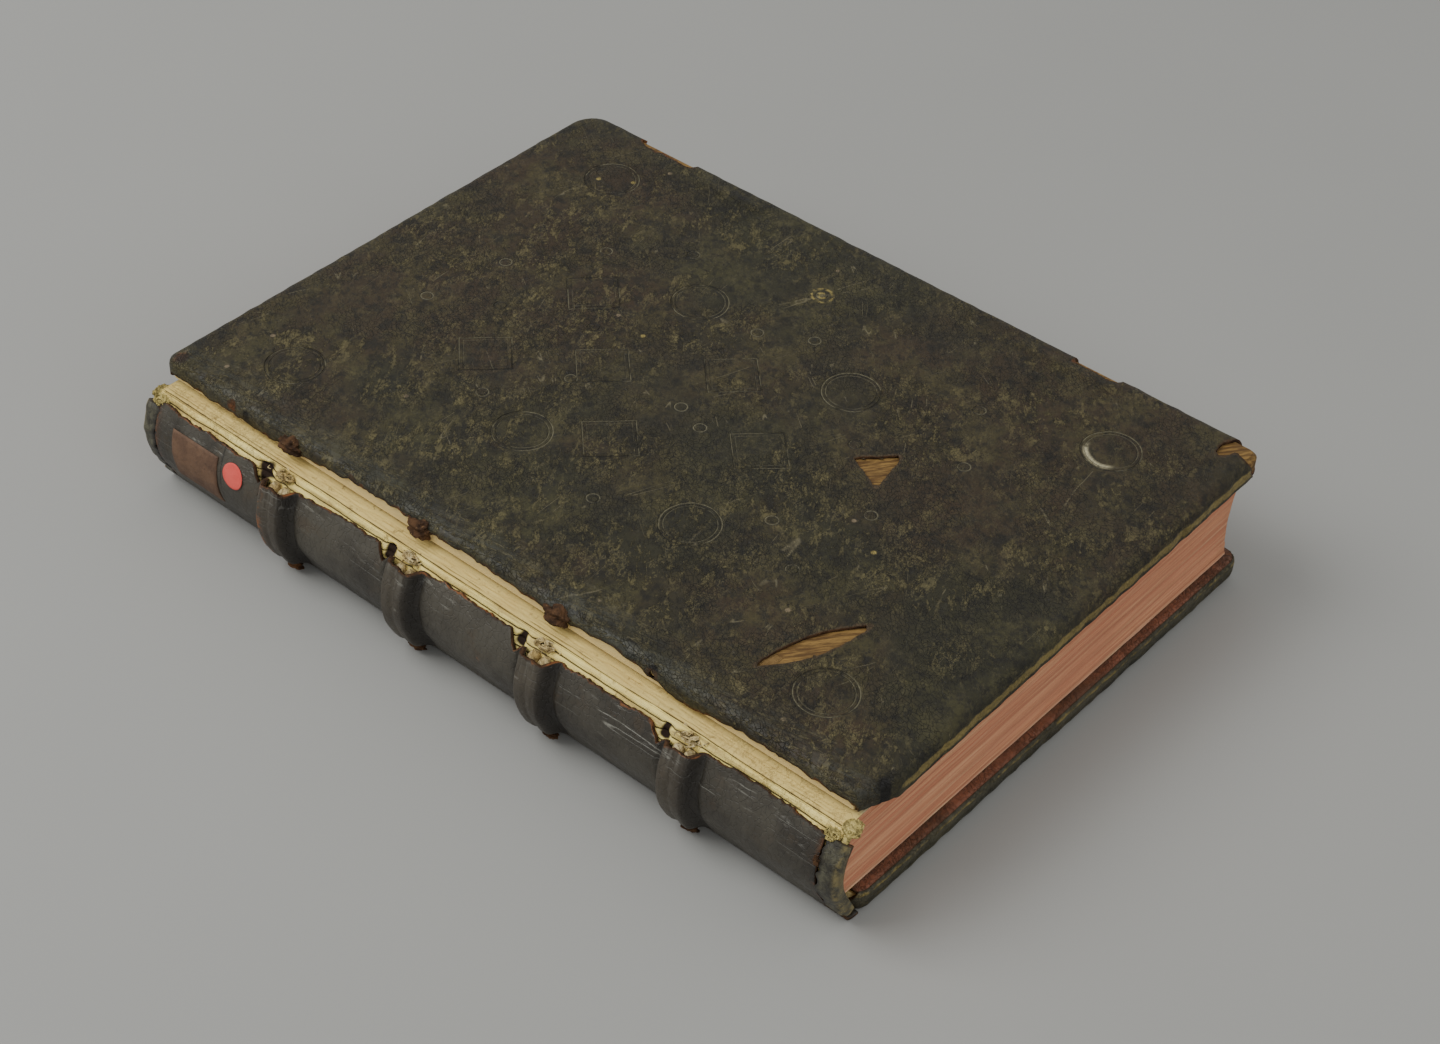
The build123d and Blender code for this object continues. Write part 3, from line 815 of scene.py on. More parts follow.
@dataclass(frozen=True)
class TornLeather(Finish):
    """The fibrous brown inside of torn leather."""

    name: str = "torn_leather"
    rust: Colour = paint(132, 82, 46)
    brown: Colour = paint(84, 60, 40)
    pale: Colour = paint(160, 122, 78)
    shadow: Colour = paint(50, 35, 24)
    black: Colour = paint(40, 26, 18)

    def lay(self, r: Recipe) -> None:
        """Lays the colours and the relief."""
        patch = r.noise(230, 5, 0.7)
        tint = r.blend(r.step(patch, 0.36, 0.62), self.shadow, self.brown)
        rusty = r.product(r.attribute("torn"), r.step(r.noise(80, 5, 0.7), 0.53, 0.63))
        tint = r.blend(rusty, tint, self.rust)
        tint = r.coat(tint, self.pale, r.step(r.noise(700, 4, 0.75), 0.58, 0.72), 0.5)
        tint = r.blend(r.step(r.noise(130, 3), 0.6, 0.7, 0.0, 0.8), tint, self.black)
        height = r.weighed(patch, (r.noise(1400, 4, 0.8), 0.6))
        r.finish(tint, r.weighed(0.78, (patch, 0.15)), 0.2, height, 0.0007)


@dataclass(frozen=True)
class BoardWood(Finish):
    """Old dry board: golden brown with a slanting grain, paler on its spine edge."""

    name: str = "board_wood"
    light: Colour = paint(140, 110, 60)
    dark: Colour = paint(86, 62, 32)
    edge: Colour = paint(222, 198, 138)
    pore: Colour = paint(92, 62, 34)

    def lay(self, r: Recipe) -> None:
        """Lays the colours and the relief."""
        grain = r.stretched((0.12, 1, 1), 38, r.warped(0.003, 40))
        rings = r.noise(980, 4, 0.6, grain)
        pores = r.noise(1900, 2, 0.6, grain)
        tint = r.blend(r.step(rings, 0.36, 0.64), self.dark, self.light)
        tint = r.coat(tint, self.pore, r.step(pores, 0.56, 0.66), 0.5)
        spine_edge = r.step(r.axis(0), (JOINT_X + 2.2) * MM, (JOINT_X + 1.3) * MM)
        tint = r.blend(spine_edge, tint, self.edge)
        height = r.weighed(rings, (pores, 0.5))
        r.finish(tint, r.weighed(0.62, (rings, 0.2)), 0.3, height, 0.0003)


@dataclass(frozen=True)
class PaperBlock(Finish):
    """The pages: cream folds on the back, and edges stained red with fine leaf lines."""

    name: str = "page_paper"
    red: Colour = paint(206, 150, 112)
    deep: Colour = paint(186, 122, 92)
    streak: Colour = paint(220, 180, 146)
    cream: Colour = paint(250, 230, 142)
    shade: Colour = paint(210, 178, 100)
    leaf_gap: Colour = paint(130, 72, 58)
    drifted: Colour = paint(194, 128, 98)
    first_leaf: Colour = paint(226, 186, 154)
    dragged: Colour = paint(150, 122, 76)
    bright: Colour = paint(246, 228, 156)
    shelf_tint_and_shade: Colour = paint(208, 182, 112)
    speck: Colour = paint(150, 122, 78)
    crumple: Colour = paint(116, 90, 48)
    fold_shade: Colour = paint(52, 38, 24)
    dirty: Colour = paint(110, 86, 50)
    black: Colour = paint(38, 24, 14)
    plain: Colour = paint(212, 197, 160)
    aged: Colour = paint(196, 178, 136)

    def lay(self, r: Recipe) -> None:
        """Lays the colours and the relief."""
        leaf = r.attribute("leaf")
        lines = self._leaves(r, leaf, 14, 160.0)
        sets = self._leaves(r, leaf, 8, 26.0)
        red = r.blend(r.step(sets, 0.38, 0.62), self.deep, self.red)
        red = r.coat(red, self.streak, r.step(lines, 0.5, 0.7), 0.5)
        red = r.coat(red, self.streak, r.step(sets, 0.58, 0.72), r.step(lines, 0.4, 0.6), 0.6)
        red = r.coat(red, self.leaf_gap, r.step(lines, 0.44, 0.3), 0.2)
        drift = r.step(r.noise(14, 4, 0.6), 0.42, 0.62)
        red = r.coat(red, self.drifted, drift, 0.4)
        red = r.blend(r.step(leaf, 0.035, 0.0, 0.0, 0.8), red, self.first_leaf)
        blotch = r.noise(60, 5, 0.65)
        cream = r.blend(r.step(blotch, 0.42, 0.7, 0.0, 0.7), self.cream, self.shade)
        drag = r.noise(700, 3, 0.6, r.stretched((1, 0.035, 1)))
        cream = r.blend(r.step(drag, 0.5, 0.3, 0.0, 0.6), cream, self.dragged)
        cream = r.blend(r.step(drag, 0.55, 0.7, 0.0, 0.5), cream, self.bright)
        across = r.axis(0)
        # The shelf beside the shoulder: a tan tint of its own, and darker than the folds as painted
        # shade.
        shelf = r.step(across, (SHOULDER_X + 0.2) * MM, (SHOULDER_X + 0.9) * MM)
        cream = r.coat(cream, self.shelf_tint_and_shade, shelf, 0.75)
        cream = r.coat(cream, self.speck, r.step(r.noise(420, 5, 0.7), 0.56, 0.7), 0.5)
        crumpled = r.lines(r.noise(210, 5, 0.7, r.warped(0.004, 120)), 0.03)
        leaf_face = r.step(across, (JOINT_X + 1.5) * MM, (JOINT_X + 5.0) * MM)
        crumpled = r.product(crumpled, r.math("SUBTRACT", 1.0, leaf_face))
        crumpled = r.product(crumpled, r.step(r.math("ABSOLUTE", r.axis(1)), 0.085, 0.11))
        cream = r.coat(cream, self.crumple, crumpled, 0.5)
        # Painted shade in the creases between the folds and in the shoulder's grooves.
        crease = r.step(r.attribute("crease"), 0.3, 0.85, 0.0, 0.95)
        cream = r.blend(crease, cream, self.fold_shade)
        dirt = r.step(r.noise(170, 5, 0.75), 0.6, 0.68)
        cream = r.coat(cream, self.dirty, dirt, 0.6)
        # Painted shade: the torn cord holes on the back, and the hollows behind them, go dark.
        cream = r.blend(r.step(r.attribute("hole"), 0.2, 0.8), cream, self.black)
        plain = r.blend(r.step(r.noise(30, 5, 0.65), 0.38, 0.66), self.plain, self.aged)
        cream = r.coat(cream, plain, leaf_face, 0.85)
        tint = r.blend(r.attribute("stain"), cream, red)
        height = r.weighed(r.product(lines, 0.8), (r.noise(500, 4, 0.7), 0.4))
        r.finish(tint, r.weighed(0.72, (lines, 0.16)), 0.25, height, 0.0004)

    def _leaves(self, r: Recipe, leaf: Socket, drift: float, count: float) -> Socket:
        """Stripes along the leaves: noise that changes fast across them and slowly along them.

        Args:
            r: The recipe that gets the nodes.
            leaf: Share of the way up the block.
            drift: How fast the stripes change along the leaves, for each metre.
            count: How fast they change from the lowest leaf to the highest.

        Returns:
            The pattern, about 0.5.
        """
        flat = r.vector("MULTIPLY", r.place, (drift, drift, 0))
        lifted = r.node("CombineXYZ", 0, {"Z": r.math("MULTIPLY", leaf, count)})
        return r.noise(1.0, 3, 0.6, r.vector("ADD", flat, lifted))


@dataclass(frozen=True)
class PlainFinish(Finish):
    """A dull finish with mottling at two scales, for papers, thread and cord."""

    base: Colour
    second: Colour
    spot: Colour
    scale: float = 60.0
    roughness: float = 0.8
    depth: float = 0.0003
    twist: float = 0.0

    def lay(self, r: Recipe) -> None:
        """Lays the colours and the relief."""
        patch = r.noise(self.scale, 5, 0.65)
        fine = r.noise(self.scale * 12, 4, 0.7)
        tint = r.blend(r.step(patch, 0.38, 0.66), self.base, self.second)
        tint = r.coat(tint, self.spot, r.step(fine, 0.56, 0.72), 0.6)
        height = r.total(fine, r.product(patch, 0.5))
        if self.twist:
            fibres = r.noise(self.twist, 3, 0.6, r.stretched((1, 0.25, 1), 30))
            tint = r.blend(r.step(fibres, 0.55, 0.4, 0.0, 0.6), tint, self.spot)
            height = r.total(height, fibres)
        r.finish(tint, r.weighed(self.roughness, (fine, 0.12)), 0.25, height, self.depth)


FINISHES: dict[str, Finish] = {
    "cover": CoverLeather(),
    "back": CoverLeather(name="back_cover_leather", tooled=False),
    "spine": SpineLeather(),
    "torn": TornLeather(),
    "knob": TornLeather(
        "band_leather", paint(118, 80, 48), paint(90, 64, 42), paint(158, 122, 84)
    ),
    "wood": BoardWood(),
    "pages": PaperBlock(),
    "paste": PlainFinish(
        "paste_paper", paint(214, 200, 166), paint(196, 178, 138), paint(160, 134, 92), 30
    ),
    "cord": PlainFinish(
        "sewing_cord", paint(220, 202, 152), paint(184, 158, 100), paint(84, 62, 34), 200,
        twist=900, depth=0.0005
    ),
    "thread": PlainFinish(
        "endband_thread", paint(210, 192, 122), paint(160, 144, 80), paint(66, 54, 28), 260,
        twist=1200
    ),
    "slip": PlainFinish(
        "laced_cord", paint(136, 108, 66), paint(110, 84, 48), paint(80, 58, 32), 200,
        depth=0.0005
    ),
    "label": PlainFinish(
        "label_leather", paint(112, 86, 66), paint(90, 68, 54), paint(60, 46, 38), 90, 0.55
    ),
    "sticker": PlainFinish(
        "sticker_paper", paint(232, 98, 88), paint(220, 84, 76), paint(196, 70, 62), 150, 0.6,
        0.0001
    ),
}
_made: dict[str, bpy.types.Material] = {}


def dress(piece: bpy.types.Object, *finishes: str) -> None:
    """Gives a piece its materials.

    Args:
        piece: The object.
        finishes: Names of the finishes, in the order of the piece's slots.
    """
    piece.data.materials.clear()
    for name in finishes:
        if name not in _made:
            _made[name] = FINISHES[name].make()
        piece.data.materials.append(_made[name])


def thicken(piece: bpy.types.Object, thickness: float) -> None:
    """Gives a skin its thickness in millimetres, inwards. Its cut edges take its second finish."""
    solid = piece.modifiers.new("thickness", "SOLIDIFY")
    solid.thickness = thickness * MM
    solid.offset = -1
    solid.use_even_offset = False
    if len(piece.data.materials) > 1:
        solid.material_offset_rim = 1


def settle(
    shell: Shell,
    name: str,
    finishes: tuple[str, ...],
    body: Body,
    slot: str,
    *nodes: str,
    creased: float = 40.0,
    skin: float = 0.0,
) -> None:
    """Makes a piece and puts it on its body, in place of CAD nodes.

    Args:
        shell: Its points and faces.
        name: Name of the piece.
        finishes: Names of its finishes.
        body: The body that it rides on.
        slot: Not used.
        nodes: CAD nodes that it replaces.
        creased: Angle in degrees above which an edge stays sharp.
        skin: Thickness in millimetres of a piece that is only a skin so far.
    """
    piece = shell.make(name, creased)
    dress(piece, *finishes)
    if skin:
        thicken(piece, skin)
    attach(piece, body.value)
    if nodes:
        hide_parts(*nodes)
    log.info("%s: %d faces, on %s", piece.name, len(piece.data.polygons), body.value)


@dataclass
class Cover:
    """The leather over one board: a skin with soft rims, and its turned-in margins."""

    name: str
    body: Body
    node: str
    finish: str
    corners: list[tuple[float, float, float]]
    front: bool
    step: float = 1.4
    rim_round: float = 4.0
    low_round: float = 0.9
    turn_in: float = 16.0
    losses: list[Array] = field(default_factory=list)
    clean_cuts: int = 2
    worn_at: float = 5.2
    worn_width: float = 1.8
    worn_share: float = 1.0
    margin_inset: float = 0.9
    margin_grid: tuple[int, int] = (130, 9)

    @property
    def straight(self) -> float:
        """Length of the rim's straight side."""
        return COVER_THICKNESS - PASTE_PAPER - self.rim_round - self.low_round

    def place(self, u: Array, v: Array, w: Array) -> Array:
        """Points of the row frame from places on the cover.

        Args:
            u: From the spine edge.
            v: From the tail on the front cover, from the head on the back cover.
            w: Above the inner face.

        Returns:
            The points, one row each.
        """
        if self.front:
            x = JOINT_X + u * math.cos(WEDGE) - w * math.sin(WEDGE)
            z = FRONT_INNER + u * math.sin(WEDGE) + w * math.cos(WEDGE)
            return points_at(x, v - BOOK_HEIGHT / 2, z)
        return points_at(JOINT_X + u, BOOK_HEIGHT / 2 - v, COVER_THICKNESS - w)

    def profile(self, gone: Array) -> tuple[Array, Array]:
        """How far out and down the skin is at a length past the start of its rim.

        A quarter circle turns over the rim, a straight side follows, and a smaller quarter circle
        turns under.

        Args:
            gone: Length along the skin from where the flat face ends.

        Returns:
            Distance outwards and distance down.
        """
        over = np.clip(gone / self.rim_round, 0, math.pi / 2)
        past = gone - self.rim_round * math.pi / 2
        under = np.clip((past - self.straight) / self.low_round, 0, math.pi / 2)
        out = self.rim_round * np.sin(over) - self.low_round * (1 - np.cos(under))
        down = self.rim_round * (1 - np.cos(over)) + np.clip(past, 0, self.straight)
        return out, down + self.low_round * np.sin(under)

    def relief(self, u: Array, v: Array) -> Array:
        """Height of the leather's waves above its face: two random fields, added."""
        return 0.16 * Ripple(11, 55)(u, v) + 0.09 * Ripple(12, 14)(u, v)

    def tear(self, u: Array, v: Array) -> Array:
        """Distance from the torn spine edge, negative where the leather is gone."""
        return u - (self.rim_round - self.tear_length(v))

    def tear_length(self, v: Array) -> Array:
        """Length of skin that is left past the start of the spine-side rim."""
        return np.full_like(v, self.rim_round * math.pi / 2 + 0.9)

    def tear_out(self, flat: Array) -> tuple[Array, Array, Array]:
        """Moves points that are near the edge of a loss, or near the torn side, onto it.

        Args:
            flat: Points of the unfolded leather, one row each, which are moved in place.

        Returns:
            Distance to what is lost, negative inside; the distance to the losses' edges alone;
            and the distance to the edges that show rusty leather.
        """
        gap, rusty = np.full((2, len(flat)), FAR)
        for i, loss in enumerate(self.losses):
            distance, edge = nearest_on(loss, flat)
            near = np.abs(distance) < 0.5 * self.step
            flat[near] = edge[near]
            distance[near] = 0
            gap = np.minimum(gap, distance)
            if i >= self.clean_cuts:
                rusty = np.minimum(rusty, np.abs(distance))
        torn_by = self.tear(flat[:, 0], flat[:, 1])
        near = np.abs(torn_by) < 0.5 * self.step
        flat[near, 0] -= torn_by[near]
        torn_by[near] = 0
        return np.minimum(gap, torn_by), np.abs(gap), np.minimum(rusty, np.abs(torn_by))

    def build(self) -> None:
        """Makes the skin with its losses and margins.

        A square grid lies over the unfolded leather. What lies past the start of the rim is
        carried over the edge, along the way from its nearest place on that line. Points near the
        edge of a loss are moved onto it, and faces inside are left out, or cut to a triangle.
        """
        outline = rounded(self.corners)
        reach = (self.rim_round + self.low_round) * math.pi / 2 + self.straight
        low, high = outline.min(0) - reach, outline.max(0) + reach
        columns, rows = (int(round(length / self.step)) + 1 for length in high - low)
        across, along = np.linspace(low[0], high[0], columns), np.linspace(low[1], high[1], rows)
        flat = np.stack(np.meshgrid(across, along), -1).reshape(-1, 2)
        gap, cut_gap, rusty = self.tear_out(flat)
        beyond, foot = nearest_on(outline, flat)
        gone = np.clip(beyond, 0, reach)
        way = (flat - foot) / np.where(beyond > TINY, beyond, 1)[:, None]
        out, down = self.profile(gone)
        past = (beyond > 0)[:, None]
        spot = np.where(past, foot + way * out[:, None], flat)
        height = COVER_THICKNESS - down + smooth(-beyond, 0, 5) * self.relief(*spot.T)
        if not self.front:
            height = np.minimum(height, COVER_THICKNESS)
        swell = 0.2 * Ripple(14, 9)(*spot.T) * smooth(beyond, 0.5, 4)
        swell = swell * smooth(gone, reach, reach - 2)
        spot = spot + way * (past[:, 0] * swell)[:, None]
        faces = grid_faces(rows, columns)
        lost = (gap < -TINY)[faces]
        left = ~(beyond >= reach)[faces].all(1)
        single = (lost.sum(1) == 1) & left
        order = (np.argmax(lost[single], 1)[:, None] + np.array((1, 2, 3))) % 4
        cut = np.take_along_axis(faces[single], order, 1)
        joint = smooth(flat[:, 0], 22, 0) * self.front
        rim = np.exp(-(((gone - self.worn_at) / self.worn_width) ** 2))
        shell = Shell()
        shell.add(
            self.place(*spot.T, height),
            [faces[~lost.any(1) & left], cut],
            torn=np.exp(-rusty),
            cut=np.exp(-cut_gap / 0.8),
            rim=rim * (1 - joint) * self.worn_share,
            # Painted light on the back cover's side wall, which the material makes paler.
            side=0.0 if self.front else smooth(gone, 6.0, 8.0),
            joint=joint,
        )
        self.margins(shell, outline)
        looks = (self.finish, "torn")
        skin = LEATHER - 0.05
        settle(shell, self.name, looks, self.body, "cover_leather", self.node, skin=skin)

    def margins(self, shell: Shell, outline: Array) -> None:
        """Adds the leather turned in at the head, the fore edge and the tail, mitred.

        Each margin is a sheet between a line along the cover's edge and a line along the window,
        both divided evenly.

        Args:
            shell: The piece's points and faces.
            outline: Where the rim starts.
        """
        inset = self.margin_inset
        left, right, low, high = 2.6, BOARD_WIDTH - inset, inset, BOOK_HEIGHT - inset
        inner = self.turn_in
        inner_right, inner_high = BOARD_WIDTH - inner, BOOK_HEIGHT - inner
        sides = (
            ((left, low), (right, low), (left, inner), (inner_right, inner)),
            ((right, low), (right, high), (inner_right, inner), (inner_right, inner_high)),
            ((right, high), (left, high), (inner_right, inner_high), (left, inner_high)),
        )
        along = np.linspace(0, 1, self.margin_grid[0])[:, None, None]
        across = np.linspace(0, 1, self.margin_grid[1])[None, :, None]
        inwards = np.tile(across.ravel(), self.margin_grid[0])
        limit = self.rim_round - inset
        for k, corners in enumerate(sides):
            a, b, c, d = (np.array(corner) for corner in corners)
            spread = (1 - across) * (a + (b - a) * along) + across * (c + (d - c) * along)
            flat = spread.reshape(-1, 2)
            beyond, foot = nearest_on(outline, flat)
            way = (flat - foot) / np.maximum(beyond, TINY)[:, None]
            flat = np.where((beyond > limit)[:, None], foot + way * limit, flat)
            wave = 0.1 * Ripple(31 + k, 18)(*flat.T) * smooth(inwards, 0, 0.3)
            points = self.place(*flat.T, PASTE_PAPER + 0.12 + wave)
            torn = 0.4 * smooth(inwards, 0.8, 1.0)
            shell.add(points, grid_faces(*self.margin_grid), torn=torn, inner=0.9)


@dataclass
class FrontCover(Cover):
    """The front cover's leather: torn along the joint, with its tooling and its losses."""

    tear_depth: float = 4.6

    def tear_length(self, v: Array) -> Array:
        """Length left past the rim's start: the torn edge stands this far above the inner face."""
        place = v - BOOK_HEIGHT / 2
        fine = 0.4 * Ripple(21, 6)(place) + 0.2 * Ripple(22, 2.6)(place)
        low = 3.2 * np.exp(-(((place + 82) / 15) ** 2)) + 1.6 * smooth(place, 70, 110)
        low -= np.exp(-((place / 30) ** 2))
        above = self.tear_depth + 0.8 + ragged(place, 0.7)
        above = above + 0.6 * Ripple(23, 60)(place) + fine - low
        return self.rim_round * math.pi / 2 + (COVER_THICKNESS - above - self.rim_round)

    def relief(self, u: Array, v: Array) -> Array:
        """Waves of the leather, roundels pressed in, and the proud seats of the lost clasps."""
        height = 0.15 * Ripple(11, 60)(u, v) + 0.1 * Ripple(12, 13)(u, v)
        height += 0.05 * Ripple(13, 5)(u, v)
        for u0, v0 in Tooling.ROUNDELS.value + Tooling.INNER_ROUNDELS.value:
            gap = np.hypot(u - u0, v - v0)
            height -= 0.12 * smooth(gap, 11, 9.6) - 0.08 * smooth(gap, 8, 3)
            height -= 0.22 * np.exp(-(((gap - 10) / 0.9) ** 2))
        for u0, v0 in Tooling.LOZENGES.value:
            gap = np.abs(u - u0) + np.abs(v - v0)
            height -= 0.2 * np.exp(-(((gap - 13) / 1.2) ** 2))
        upper = smooth(u, 205.5, 208.5) * smooth(v, 213.5, 217) * smooth(v, 248.5, 245)
        lower = smooth(u, 205.5, 208) * smooth(v, 56, 58.5) * smooth(v, 99, 95)
        return height + 0.8 * upper + 0.45 * lower


def front_losses() -> list[Array]:
    """Outlines of the places where the front leather is lost, each torn a little unevenly.

    Returns:
        Closed outlines on the cover.
    """
    triangle = torn_outline(np.array(((119.5, 100.5), (131.5, 88.5), (112.0, 85.0))), 0.35, 41, 1.2)
    start, end = np.array((21.0, 61.5)), np.array((60.0, 45.5))
    share = np.linspace(0, 1, 26)[:, None]
    way = (end - start) / np.hypot(*(end - start))
    across = np.array((-way[1], way[0]))
    middle = start + (end - start) * share
    belly = 4.2 * np.sin(math.pi * share) ** 0.8
    slit = np.concatenate((middle - across * belly, (middle + across * belly)[-2:0:-1]))
    slit = torn_outline(slit, 0.3, 42, 1.2)
    wide = BOARD_WIDTH + 9
    clasp = ((213.2, 252.5), (212.2, 258), (213.4, 266), (212.0, 274), (214, 279), (wide, 281.5))
    chip = ((wide, 56), (213.6, 57), (212.4, 62), (213.2, 70), (212.7, 76), (wide, 78))
    corner = ((217, 9.5), (211.5, 12.5), (204.2, 13), (203.5, 10.4), (209, 6.5), (207.5, 2.5))
    edges = (((wide, 251), *clasp), chip, ((wide, -9), (wide, 7), *corner, (212, -9)))
    parts = [torn_outline(np.array(part), 0.4, 43 + i, 1.2) for i, part in enumerate(edges)]
    turn = round_turn(12)
    circle = np.stack((np.cos(turn), np.sin(turn)), -1)
    nicks = ((-1.2, 275.0, 1.4), (-1.0, 216.5, 1.3), (-1.6, 84.0, 1.7))
    for i, (u, v, radius) in enumerate(nicks):
        parts.append(torn_outline(np.array((u, v)) + circle * radius, 0.3, 60 + i, 1.0))
    return [triangle, slit, *parts]


def torn_outline(corners: Array, depth: float, seed: int, step: float) -> Array:
    """A closed outline divided evenly, with each point pushed about by a smooth random field.

    Args:
        corners: Corners of the outline.
        depth: How far points are pushed.
        seed: Seed of the field.
        step: Distance between points.

    Returns:
        The torn outline.
    """
    closed = np.concatenate((corners, corners[:1])).astype(float)
    length = np.concatenate(((0,), np.cumsum(np.hypot(*np.diff(closed, axis=0).T))))
    places = np.linspace(0, length[-1], max(6, int(length[-1] / step)), endpoint=False)
    even = np.stack([np.interp(places, length, closed[:, k]) for k in (0, 1)], -1)
    push = np.stack((Ripple(seed, 4)(places), Ripple(seed + 100, 4)(places)), -1)
    return even + depth * push


@dataclass
class Pages:
    """The paper block: rounded folds on the back, hollow fore edge, stained ends."""

    gatherings: int = 13
    fold_steps: int = 8
    fold_depth: float = 0.75
    hollow: float = 4.0
    columns: int = 240
    ends_columns: int = 70
    fore_inset: float = 4.5
    hole_widths: tuple[float, ...] = (1.7, 2.0, 2.2, 3.0)

    def back_line(self) -> tuple[Array, Array, Array]:
        """Section of the back, from the lower shoulder to the upper one.

        Between two folds the radius drops in a cusp: one less the root of a sine's size.

        Returns:
            X and Z of the line, and how deep in a crease each point lies, from 0 to 1.
        """
        rows = self.gatherings * self.fold_steps + 1
        share = np.linspace(0, 1, rows)
        angle = 180 + SPINE_HALF_ANGLE * (1 - 2 * share)
        crease = 1 - np.abs(np.sin(math.pi * self.gatherings * share)) ** 0.45
        crease[[0, -1]] = 0
        x, z = spine_place(angle, SPINE_RADIUS - self.fold_depth * crease)
        return x, z, crease

    def holes(self, along: Array, height: Array) -> Array:
        """How deep the back is where the cords have torn out of it, and how much painted shade it
        gets.

        An oval hole lies beside each pair of cords, painted dark as shade, and a shallow hollow
        with lighter painted shade behind it. A smooth random field makes both uneven.

        Args:
            along: Places along the book.
            height: Heights on the back.

        Returns:
            From 0 to 1 at each place and height.
        """
        uneven = 0.3 * Ripple(50, 5)(along, height)
        depth = np.zeros_like(uneven)
        for place, width in zip(SUPPORTS, self.hole_widths):
            gap = np.hypot((along - place - 9.6) / width, (height - 36.9) / (1.2 * width))
            shade_behind = np.hypot((along - place - 0.8) / 4.0, (height - 38.6) / 2.4)
            depth = np.maximum(depth, smooth(gap + uneven, 1.45, 0.6))
            depth = np.maximum(depth, 0.55 * smooth(shade_behind + uneven, 1.1, 0.6))
        return depth

    def build(self) -> None:
        """Makes the block from six sheets that meet at its edges.

        The back and the fore edge run along the book. An end is ruled between the back's section
        and the fore edge's, and so are the first and the last leaf.
        """
        back_x, back_z, crease = self.back_line()
        leaf = np.linspace(0, 1, len(back_x))
        fore_x = JOINT_X + BOARD_WIDTH - self.fore_inset
        fore_high = TEXT_HIGH + (fore_x - SHOULDER_X) * math.tan(WEDGE)
        fore_z = TEXT_LOW + (fore_high - TEXT_LOW) * leaf
        bow = self.hollow * (1 - (2 * leaf - 1) ** 2)
        fore_x = fore_x - bow + 0.22 * Ripple(51, 0.03)(leaf)
        along = np.linspace(-TEXT_HALF, TEXT_HALF, self.columns)[:, None]
        faces = grid_faces(self.columns, len(leaf))
        wander = 0.16 * Ripple(52, 26)(along, leaf * 60) + 0.1 * Ripple(53, 6)(along, leaf * 90)
        middle = smooth(leaf, 0, 0.05) * smooth(leaf, 1, 0.97)
        # Dips in the back, which the material also darkens as painted shade.
        hole = self.holes(along, back_z)
        back = points_at(back_x - wander * middle + 1.2 * hole * middle, along, back_z)
        shell = Shell()
        # The crease attribute also lays painted shade in the folds' creases.
        shell.add(back, faces, stain=0.0, hole=hole, leaf=leaf, crease=crease)
        fore = points_at(fore_x + 0.1 * Ripple(54, 30)(along, leaf * 200), along, fore_z)
        shell.add(fore, faces[:, ::-1], stain=1.0, leaf=leaf, crease=0.0)
        across = np.linspace(0, 1, self.ends_columns)[:, None]
        end_x = back_x + (fore_x - back_x) * across
        end_z = back_z + (fore_z - back_z) * across
        rough = 0.16 * Ripple(55, 0.02)(leaf) + 0.1 * Ripple(56, 25)(end_x, leaf * 300)
        rough = rough * smooth(across, 0, 0.02) * smooth(across, 1, 0.98)
        stain = smooth(across, 0.0, 0.012) * 0.9 + 0.1
        faces = grid_faces(*end_x.shape)
        tail = points_at(end_x, -TEXT_HALF - rough, end_z)
        shell.add(tail, faces, stain=stain, leaf=leaf, crease=0.0)
        head = points_at(end_x, TEXT_HALF + rough, end_z)
        shell.add(head, faces[:, ::-1], stain=stain, leaf=leaf, crease=0.0)
        run = np.concatenate((np.linspace(0, 0.03, 34), np.linspace(0.03, 1, 31)[1:]))[:, None]
        x, y, z = (back_x[0] + (fore_x[0] - back_x[0]) * run, along.T, back_z[0] + 0 * run)
        z = z + (fore_z[0] - back_z[0]) * run
        calm = smooth(np.abs(y), TEXT_HALF, TEXT_HALF - 1.5)
        faces = grid_faces(len(run), self.columns)
        groove, second = self.grooves(x, y, calm)
        # The grooves also get painted shade, by the crease attribute.
        crease = np.maximum(groove, 0.8 * second)
        shell.add(points_at(x, y, z), faces[:, ::-1], stain=0.0, leaf=0.5, crease=crease)
        x = back_x[-1] + (fore_x[-1] - back_x[-1]) * run
        z = back_z[-1] + (fore_z[-1] - back_z[-1]) * run
        groove, second = self.grooves(x, y, calm)
        slope = smooth(x, SHOULDER_X, SHOULDER_X + 0.6) * smooth(x, JOINT_X + 1.5, JOINT_X - 0.5)
        loose = 0.12 * Ripple(59, 9)(x * 6, y) * slope * calm
        z = z - 0.55 * groove - 0.3 * second + loose - 0.1 * slope * calm
        # The grooves also get painted shade, by the crease attribute.
        crease = np.maximum(groove, 0.8 * second)
        shell.add(points_at(x, y, z), faces, stain=0.0, leaf=0.5, crease=crease)
        body = Body.BOOK_BLOCK
        settle(shell, "pages", ("pages",), body, "page_paper", "text_block", creased=34)

    @staticmethod
    def grooves(x: Array, y: Array, calm: Array) -> tuple[Array, Array]:
        """Two lines along the shoulder, where one fold ends and the next begins.

        Args:
            x: Distance across the book.
            y: Place along it.
            calm: 0 at the block's ends and 1 away from them.

        Returns:
            How deep the main line and the broken one are, from 0 to 1.
        """
        line = SHOULDER_X + 0.75 + 0.25 * Ripple(57, 40)(y)
        broken = smooth(Ripple(58, 60)(y), 0.1, 0.5)
        groove = np.exp(-(((x - line) / 0.3) ** 2)) * calm
        return groove, np.exp(-(((x - line - 1.5) / 0.2) ** 2)) * broken * calm


